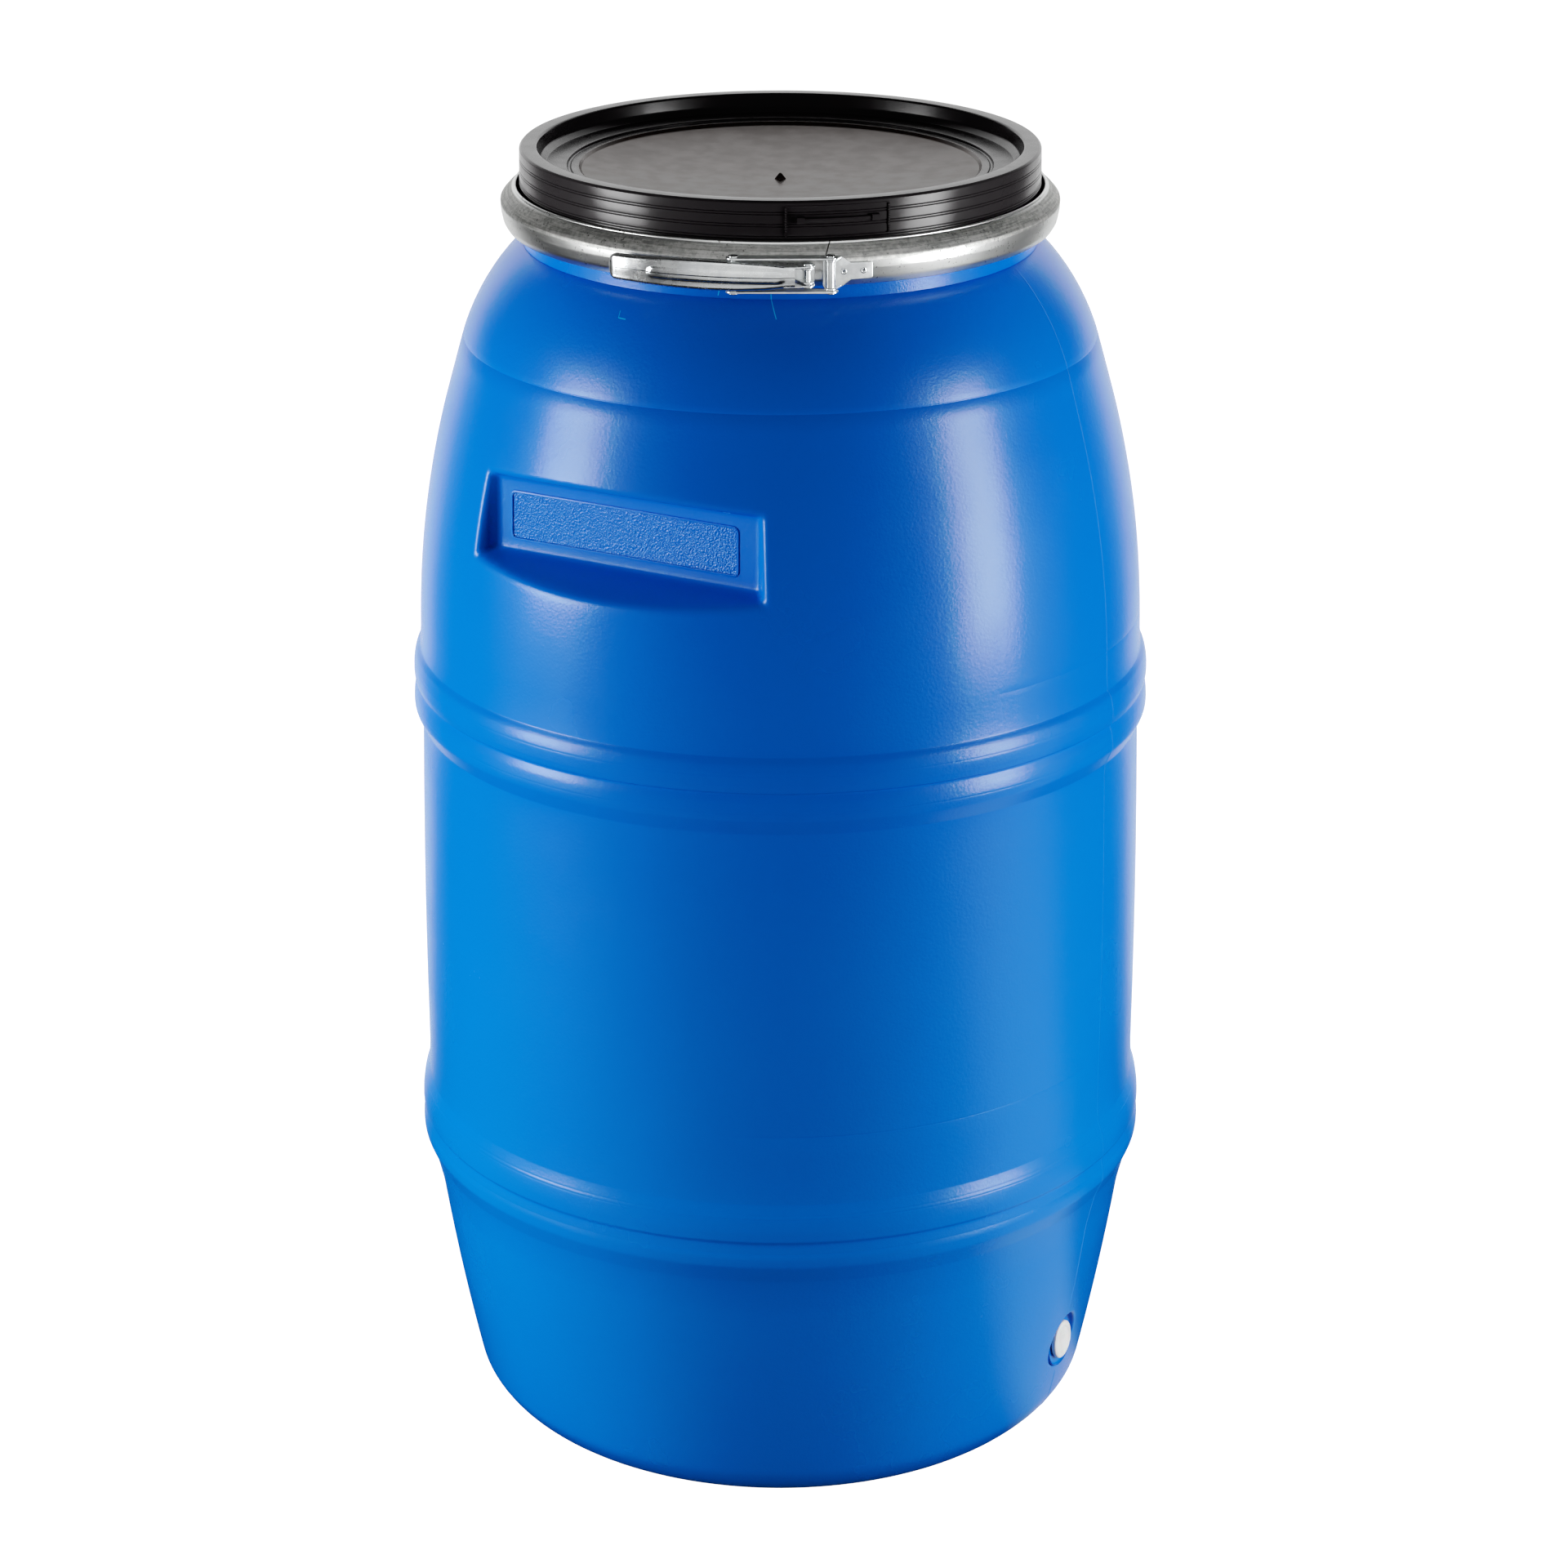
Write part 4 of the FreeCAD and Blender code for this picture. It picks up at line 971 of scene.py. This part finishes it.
def strip_outline(path, thickness, bead):
    """A rolled strip's section: a rounded path made thick, with a small bead at its start."""
    line = rounded(path, closed=False)
    length = np.concatenate([[0], np.cumsum(np.linalg.norm(np.diff(line, axis=0), axis=1))])
    near = bead * (1 - np.cos(np.linspace(0, np.pi, 9)))
    at = np.unique(np.concatenate([near, length[length > 2.2 * bead]]))
    line = np.stack([np.interp(at, length, line[:, k]) for k in (0, 1)], -1)
    run = np.gradient(line, axis=0)
    side = np.stack([run[:, 1], -run[:, 0]], -1) / np.linalg.norm(run, axis=1)[:, None]
    round_end = np.sqrt(np.maximum(bead ** 2 - (at - bead) ** 2, 0))
    half = np.maximum(round_end, np.where(at > bead, thickness / 2, 0))
    tail = length[-1] - at
    half = np.where(tail < 0.01, thickness / 5, half)
    upper = line + side * half[:, None]
    lower = line - side * half[:, None]
    return np.concatenate([upper, lower[::-1][:-1]])


def make_ring():
    path = [(211.6, 982.3), (213.2, 980.9, 0.8), (219.0, 975.6, 4), (223.3, 970.6, 2.8), (222.7, 963, 9),
            (220.9, 955, 8), (217.8, 950.2, 2.2), (210.8, 948.6)]
    outline = strip_outline(path, 1.4, 1.35)
    gap_half = 0.12

    def lean(index, points):
        """The strip's ends are cut on a slant across the upper flange."""
        slant = np.interp(points[:, 1], [946, 970, 983], [-0.9, -0.9, 1.0])
        return slant * ends[index]

    for name, body, side in (("ring_lever_half", "lever_end", -1), ("ring_catch_half", "catch_end", 1)):
        azimuths = GAP_AZIMUTH + side * np.linspace(gap_half, 180, 150)
        ends = np.exp(-np.abs(azimuths - GAP_AZIMUTH) / 3.0)
        half = swept(name, outline, azimuths, 45, lean)
        finish_piece(half, None, GALVANISED, "closure_ring")
        front = Vector(on_circle(222.6, GAP_AZIMUTH, RING_HINGE[2])) * MM
        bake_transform(half)


# ---------------------------------------------------------------- lever-lock fittings

FITTING_STEEL = 1.5
RING_WEB = 224.25
LEVER_FACE = 241.6
LEVER_BACK = 226.4
LEVER_STATIONS = [
    # azimuth from the gap, half height
    (-42.4, 9.8), (-38, 10.1), (-30, 10.9), (-23, 11.25), (-17, 10.9), (-12, 9.8), (-8.2, 8.2), (-6.2, 7.95),
]


def headed_pin(name, half_length, radius=2.4, head=4.0, height=1.8):
    """A pivot pin with a domed head at each end, upright at the origin."""
    dome = [(head, half_length, 0.3), (head, half_length + 0.55 * height, 0.5),
            (head * 0.72, half_length + 0.93 * height, 1.4), (0.05, half_length + height)]
    top = [(radius, half_length)] + dome
    base = [(across, -along, *rest) for across, along, *rest in reversed(top)]
    return lathe(name, rounded(base + top), 40)


def strap_outline(length, half):
    arc = [(length + half * math.cos(t), half * math.sin(t)) for t in np.linspace(-1.45, 1.45, 17)]
    back = [(half * math.cos(t), half * math.sin(t)) for t in np.linspace(math.pi - 1.45, math.pi + 1.45, 17)]
    return arc + back


def make_straps():
    run = CATCH_PIVOT - LINK_PIVOT
    length = float(np.hypot(run[0], run[1]))
    heading = math.atan2(run[1], run[0])
    for name, node in (("strap_upper", "link_strap_upper"), ("strap_lower", "link_strap_lower")):
        bores = [circle(0, 0, 2.45), circle(length, 0, 2.45)]
        strap = plate(name, [strap_outline(length, 5.9)] + bores, 1.6, 0.3)
        move(strap, Matrix.Rotation(heading, 4, "Z"))
        place(strap, (LINK_PIVOT[0], LINK_PIVOT[1], middle(node)[2]))
        finish_piece(strap, "link", FITTING_ZINC, node)
    ends = []
    inner = 11.95
    for side in (1, -1):
        outline = rounded([(0.05, inner), (2.4, inner), (2.4, inner + 1.62), (3.9, inner + 1.62, 0.3),
                           (3.9, inner + 2.6, 0.6), (2.7, inner + 3.3, 0.9), (0.05, inner + 3.4)])
        end = lathe("strap_end", outline * (1, side), 40)
        ends.append(place(end, CATCH_PIVOT))
    finish_piece(joined("strap_rivets", ends), "link", RIVET_STEEL, "link_end_rivets")


def gusset(name, pivot, round_radius, start, end, root, height, bore):
    """A flat ear round a pivot that runs back to the ring's web between two azimuths."""
    centre = pivot[:2]
    feet = [on_circle(root, GAP_AZIMUTH + azimuth, 0)[:2] for azimuth in np.linspace(start, end, 6)]
    outward = centre / np.linalg.norm(centre)
    along = np.array([-outward[1], outward[0]])
    arc = []
    for t in np.linspace(-math.pi / 2 + 0.1, math.pi / 2 - 0.1, 15):
        arc.append(centre + round_radius * (math.cos(t) * outward - math.sin(t) * along))
    ahead = 1 if np.dot(arc[0] - arc[-1], feet[-1] - feet[0]) > 0 else -1
    outline = feet + (arc if ahead > 0 else arc[::-1])
    outline = [tuple(point - centre) for point in outline]
    ear = plate(name, [outline, circle(0, 0, bore)], FITTING_STEEL, 0.25)
    return place(ear, (centre[0], centre[1], height))


def eyelet(name, radius, azimuth):
    """A hollow rivet with a rolled rim, pointing outwards."""
    outline = rounded([(0.75, -2.2), (1.6, -2.2), (1.6, 0), (2.3, 0, 0.3), (2.3, 0.7, 0.4),
                       (1.5, 0.95, 0.35), (0.8, 0.55, 0.3)])
    rivet = lathe(name, outline, 28)
    turn_to(rivet, on_circle(1, azimuth, 0))
    return place(rivet, on_circle(radius, azimuth, CLOSURE_HEIGHT))


def make_bracket(name, pivot, outline, spots, ear_azimuths, half, pin, extra=()):
    """A plate riveted to the ring's web, with an ear above and below that hold a pivot pin."""
    mid = RING_WEB + FITTING_STEEL / 2
    per_degree = math.radians(1) * mid
    face_outline = rounded([(azimuth * per_degree, *rest) for azimuth, *rest in outline])
    bores = [circle(spot * per_degree, 0, 1.62, 20) for spot in spots]
    face = plate(name + "_face", [face_outline] + bores, FITTING_STEEL, 0.3)
    parts = [wrapped(sliced(face, 2.5), mid, GAP_AZIMUTH)]
    for side in (1, -1):
        level = CLOSURE_HEIGHT + side * (half - FITTING_STEEL / 2)
        parts.append(gusset("ear", pivot, 4.5, *ear_azimuths, RING_WEB + 0.3, level, 2.45))
    rivets = [eyelet("eyelet", RING_WEB + FITTING_STEEL, GAP_AZIMUTH + spot) for spot in spots]
    body, node = name + "_end", name + "_bracket"
    finish_piece(joined(name + "_fitting", parts + list(extra)), body, FITTING_ZINC, node)
    finish_piece(joined(name + "_rivets", rivets), body, RIVET_STEEL, node + "_rivets")
    finish_piece(place(pin, pivot), body, RIVET_STEEL, name + "_pivot_pin")


def make_catch_bracket():
    start, step, tip = -1.05, 4.4, 8.8
    outline = [(start, -11.7, 0.5), (2.6, -11.7, 2.5), (step, -6.6, 2), (tip, -6.2, 1.8),
               (tip, 6.2, 1.8), (step, 6.6, 2), (2.6, 11.7, 2.5), (start, 11.7, 0.5)]
    knuckle = [(2.46, -10.1, 0.2), (3.6, -10.1, 0.4), (3.6, 10.1, 0.4), (2.46, 10.1, 0.2)]
    pin = [(0.05, -11.7), (2.4, -11.7, 0.3), (2.4, 11.7, 0.3), (0.05, 11.7)]
    barrel = place(lathe("knuckle", rounded(knuckle), 40), CATCH_PIVOT)
    make_bracket("catch", CATCH_PIVOT, outline, (3.0, 6.9), (-1.05, 2.7), 11.7,
                 lathe("catch_pin", rounded(pin), 40), [barrel])


def make_lever_bracket():
    start, end = -15.5, -2.6
    outline = [(start, -6.2, 2.4), (end, -6.2, 0.6), (end, 6.2, 0.6), (start, 6.2, 2.4)]
    make_bracket("lever", LEVER_PIVOT, outline, (-13.3, -9.1), (-6.6, -2.65), 6.2,
                 headed_pin("lever_pin", 8.0))


def bead_height(along, level):
    """How far the pressed bead stands out of the lever's face, in millimetres from the tip."""
    start, end, half = 38, 142, 3.9
    beyond = np.maximum(np.maximum(start + half - along, along - end + half), 0)
    off = np.hypot(beyond, level)
    return 0.85 / (1 + np.exp((off - half) / 0.3))


def lever_rim(length, half_at):
    """The lever's front outline from the root, along the top, round the tip and back."""
    tip_reach = 9.0
    top = [(along, half_at(along)) for along in np.arange(length, tip_reach, -1.7)]
    turn = []
    for t in np.linspace(0, math.pi, 25):
        bulge_x = abs(math.sin(t)) ** 0.9
        bulge_y = math.copysign(abs(math.cos(t)) ** 0.86, math.cos(t))
        turn.append((tip_reach * (1 - bulge_x), half_at(tip_reach) * bulge_y))
    return np.array(top + turn + [(along, -half) for along, half in reversed(top)])


def make_lever():
    tip, root = LEVER_STATIONS[0][0], -6.6
    per_degree = math.radians(1) * LEVER_FACE
    bend, spine_start = 2.6, 9.0
    half_at = lambda along: np.interp(tip + along / per_degree, *zip(*LEVER_STATIONS))
    rim = lever_rim((root - tip) * per_degree, half_at)
    spine = np.stack([np.maximum(rim[:, 0], spine_start), 0 * rim[:, 1]], -1)
    reach = np.linalg.norm(rim - spine, axis=1)
    inset = [0, 0, 0, 0] + [bend * (1 - math.cos(t)) for t in np.linspace(0, math.pi / 2, 9)]
    inset += list(np.linspace(bend, 1, 22)[1:-1])
    depth = np.interp(rim[:, 0], (0, 45, 110, rim[0, 0]), (5, 6.5, 10, LEVER_FACE - LEVER_BACK))
    rows = []
    for column, distance in enumerate(inset):
        share = np.minimum(distance / reach, 1) if column < 13 else (
            bend / reach + (1 - bend / reach) * (bend - distance) / (bend - 1))
        flat = rim + (spine - rim) * share[:, None]
        if column < 4:
            radius = LEVER_FACE - depth + column / 4 * (depth - bend)
        else:
            sunk = bend - math.sqrt(max(bend ** 2 - max(bend - min(distance, bend), 0) ** 2, 0))
            sunk = sunk if column < 13 else 0
            middle = np.clip((share - 0.2) / 0.8, 0, 1)
            crown = 0.35 * middle * middle * (3 - 2 * middle) * (column >= 13)
            radius = LEVER_FACE - sunk + bead_height(flat[:, 0], flat[:, 1]) + crown
        radius = radius - 3.6 * np.clip(1 - flat[:, 0] / 9, 0, 1) ** 2
        rows.append(on_circle(radius, GAP_AZIMUTH + tip + flat[:, 0] / per_degree,
                              CLOSURE_HEIGHT + flat[:, 1]))
    points = np.array(rows)
    skin = make_object("lever_skin", points.reshape(-1, 3), grid_faces(*points.shape[:2]))
    point_out(skin)
    solid = skin.modifiers.new("thick", "SOLIDIFY")
    solid.thickness = 1.3 * MM
    solid.offset = -1
    solid.use_even_offset = True
    applied(skin)
    parts = [skin]
    for side in (1, -1):
        level = CLOSURE_HEIGHT + side * (7.95 - 0.65)
        parts.append(lever_ear(level))
    lever = joined("lever_handle", parts)
    finish_piece(lever, "lever", LEVER_ZINC, "lever")
    pin = headed_pin("link_pin", 13.6)
    finish_piece(place(pin, LINK_PIVOT), "lever", RIVET_STEEL, "link_pivot_pin")


def lever_ear(level):
    """The lever's flat ear, from the end of its face to the round end at the pivot."""
    centre = LEVER_PIVOT[:2]
    outward = centre / np.linalg.norm(centre)
    along = np.array([-outward[1], outward[0]])
    if np.dot(along, on_circle(1, GAP_AZIMUTH + 60, 0)[:2]) < 0:
        along = -along
    arc = [centre + 5.4 * (math.cos(t) * along + math.sin(t) * outward) for t in np.linspace(-1.5, 1.5, 15)]
    outer = [on_circle(radius, GAP_AZIMUTH + azimuth, 0)[:2]
             for azimuth, radius in ((-6.3, 240.9), (-8.6, 241.3))]
    inner = [on_circle(LEVER_BACK + 0.2, GAP_AZIMUTH + azimuth, 0)[:2] for azimuth in (-8.6, -6.2)]
    outline = [tuple(point - centre) for point in arc + outer + inner]
    ear = plate("ear", [outline, circle(0, 0, 2.45)], 1.3, 0.2)
    return place(ear, (centre[0], centre[1], level))


make_drum_shell()
make_grip_frames()
make_plug()
make_lid()
make_ring()
make_catch_bracket()
make_lever_bracket()
make_lever()
make_straps()


# ---------------------------------------------------------------- studio

CAMERA_AZIMUTH = 29.0
CAMERA_DISTANCE = 3.46775
CAMERA_HEIGHT = 1.7644
CAMERA_TILT = 6.1586
PAPER_WHITE = 1.7


def make_camera():
    """A shift-lens camera. The shift holds only at the camera's own place, not from other views."""
    data = bpy.data.cameras.new("camera")
    data.sensor_width = 36
    data.lens = 101.23
    data.clip_end = 200
    camera = linked("camera", data)
    angle = math.radians(CAMERA_AZIMUTH)
    camera.location = (CAMERA_DISTANCE * math.sin(angle), -CAMERA_DISTANCE * math.cos(angle), CAMERA_HEIGHT)
    camera.rotation_euler = (math.radians(90 - CAMERA_TILT), 0, angle)
    bpy.context.scene.camera = camera
    for channel, shift in (("shift_x", 0.00234), ("shift_y", -0.7083)):
        driver = data.driver_add(channel).driver
        height = driver.variables.new()
        height.name = "z"
        height.type = "TRANSFORMS"
        height.targets[0].id = camera
        height.targets[0].transform_type = "LOC_Z"
        driver.expression = "%f if abs(z - %f) < 0.0005 else 0.0" % (shift, CAMERA_HEIGHT)
    return camera


def make_rig(camera):
    """The lamps turn with the camera, as if the drum stood on a turntable in front of them."""
    rig = linked("lamp_rig", None)
    follow = rig.constraints.new("COPY_ROTATION")
    follow.target = camera
    follow.use_x = False
    follow.use_y = False
    return rig


def softbox(rig, name, azimuth, distance, height, width, tall, radiance, aim):
    """A soft rectangular lamp; azimuth 0 is the camera's side of the drum."""
    light = bpy.data.lights.new(name, "AREA")
    light.shape = "RECTANGLE"
    light.size = width
    light.size_y = tall
    light.energy = radiance * math.pi * width * tall
    lamp = linked(name, light)
    lamp.visible_camera = False
    angle = math.radians(azimuth)
    lamp.location = (distance * math.sin(angle), -distance * math.cos(angle), height)
    facing = Vector(aim) - lamp.location
    lamp.rotation_euler = facing.to_track_quat("-Z", "Y").to_euler()
    lamp.parent = rig
    return lamp


def only_on_metal(lamps):
    """The metal reflects two soft panels in front of it that don't reach the plastic."""
    metals = bpy.data.collections.new("metal_pieces")
    for piece in bpy.data.objects:
        if any(slot.material in (GALVANISED, LEVER_ZINC, FITTING_ZINC, RIVET_STEEL)
               for slot in piece.material_slots):
            metals.objects.link(piece)
    for lamp in lamps:
        lamp.light_linking.receiver_collection = metals


def studio_place(n):
    """Where a point of the studio is: share to the right, share behind, distance and height."""
    x, y, z = n.split()
    away = n.hypot(x, y)
    return n.math("DIVIDE", x, away), n.math("DIVIDE", y, away), away, z


def make_world(rig):
    """A white backdrop behind the drum and a dim room elsewhere; the camera itself sees white."""
    world = bpy.data.worlds.new("studio")
    bpy.context.scene.world = world
    n = Nodes("studio", world, rig)
    _, depth, _, z = studio_place(n)
    backdrop = n.times(n.span(depth, 0.70, 0.88), n.span(z, 0.8, 0.5))
    glow = n.math("MULTIPLY_ADD", backdrop, 1.15, 0.01)
    seen = n.add("LightPath", {}, "Is Camera Ray")
    paper = n.times(seen, PAPER_WHITE)
    n.set(Strength=n.math("MAXIMUM", paper, glow), Color=(1, 1, 1, 1))


def make_floor(rig):
    """A plain pale floor; shiny surfaces see it white behind the drum and dim in front."""
    rim = circle(0, 0, 40, 96)
    mesh = bpy.data.meshes.new("studio_floor")
    mesh.from_pydata([(x, y, 0) for x, y in rim], [], [tuple(range(len(rim)))])
    floor = linked("studio_floor", mesh)
    n = Nodes("studio_floor", None, rig)
    n.set(Base_Color=(0.42, 0.42, 0.42, 1), Roughness=0.8, Specular_IOR_Level=0.0)
    across, depth, away, _ = studio_place(n)
    behind = n.span(depth, 0.58, 0.84)
    # Painted pool of light: a glowing patch of floor on the right, in front of the drum and brighter near it,
    # which only reflections see. It stands in for lamp light falling on the floor.
    painted_light_pool = n.times(n.span(across, 0.76, 0.92), n.span(depth, 0.05, -0.15))
    lit = n.times(painted_light_pool, n.span(away, 2.4, 1.2, 0.0, 0.7))
    glow = n.plus(n.math("MULTIPLY_ADD", behind, 1.1, 0.004), lit)
    mirrored = n.add("Emission", {"Strength": glow}, 0)
    white = n.add("Emission", {"Strength": PAPER_WHITE}, 0)
    surface = n.surface.outputs[0]
    shown = n.add("AddShader", {0: white, 1: surface}, 0)
    glossy = n.add("LightPath", {}, "Is Glossy Ray")
    seen = n.add("LightPath", {}, "Is Camera Ray")
    unseen = n.add("MixShader", {0: glossy, 1: surface, 2: mirrored}, 0)
    final = n.add("MixShader", {0: seen, 1: unseen, 2: shown}, 0)
    n.feed(n.tree.nodes["Material Output"].inputs["Surface"], final)
    mesh.materials.append(n.material)


FILM_CURVE = [
    # scene brightness, brightness in the picture: deep shadows, soft highlights
    (0.0, 0.0), (0.010, 0.002), (0.032, 0.021), (0.091, 0.072), (0.144, 0.150),
    (0.216, 0.246), (0.352, 0.366), (0.515, 0.515), (0.716, 0.645), (1.0, 0.77),
]


def develop():
    """Gives the picture the tone curve of a studio camera."""
    view = bpy.context.scene.view_settings
    view.view_transform = "Standard"
    view.look = "None"
    view.use_curve_mapping = True
    mapping = view.curve_mapping
    mapping.use_clip = False
    mapping.extend = "EXTRAPOLATED"
    curve = mapping.curves[3]
    curve.points[0].location = FILM_CURVE[0]
    curve.points[1].location = FILM_CURVE[-1]
    for place in FILM_CURVE[1:-1]:
        curve.points.new(*place)
    for point in curve.points:
        point.handle_type = "VECTOR"
    mapping.update()


def make_studio():
    rig = make_rig(make_camera())
    make_floor(rig)
    make_world(rig)
    middle_of_drum = (0, 0, 0.7)
    softbox(rig, "softbox_left", -70, 2.1, 0.95, 0.8, 1.1, 9.6, middle_of_drum)
    softbox(rig, "softbox_right", 63.5, 2.1, 0.85, 0.7, 1.4, 9.9, middle_of_drum)
    for name, azimuth, strength in (("wash_left", -74, 9.5), ("wash_right", 76, 5.6)):
        wash = softbox(rig, name, azimuth, 1.8, 0.45, 0.9, 0.8, strength, (0, 0, 0.3))
        wash.visible_glossy = False
    front = softbox(rig, "fill_on_metal", 0, 2.2, 1.0, 3.4, 1.9, 0.75, (0, 0, 0.9))
    above = softbox(rig, "sky_on_metal", 0, 1.9, 2.9, 3.4, 2.4, 0.85, (0, 0, 0.95))
    only_on_metal((front, above))
    develop()


make_studio()
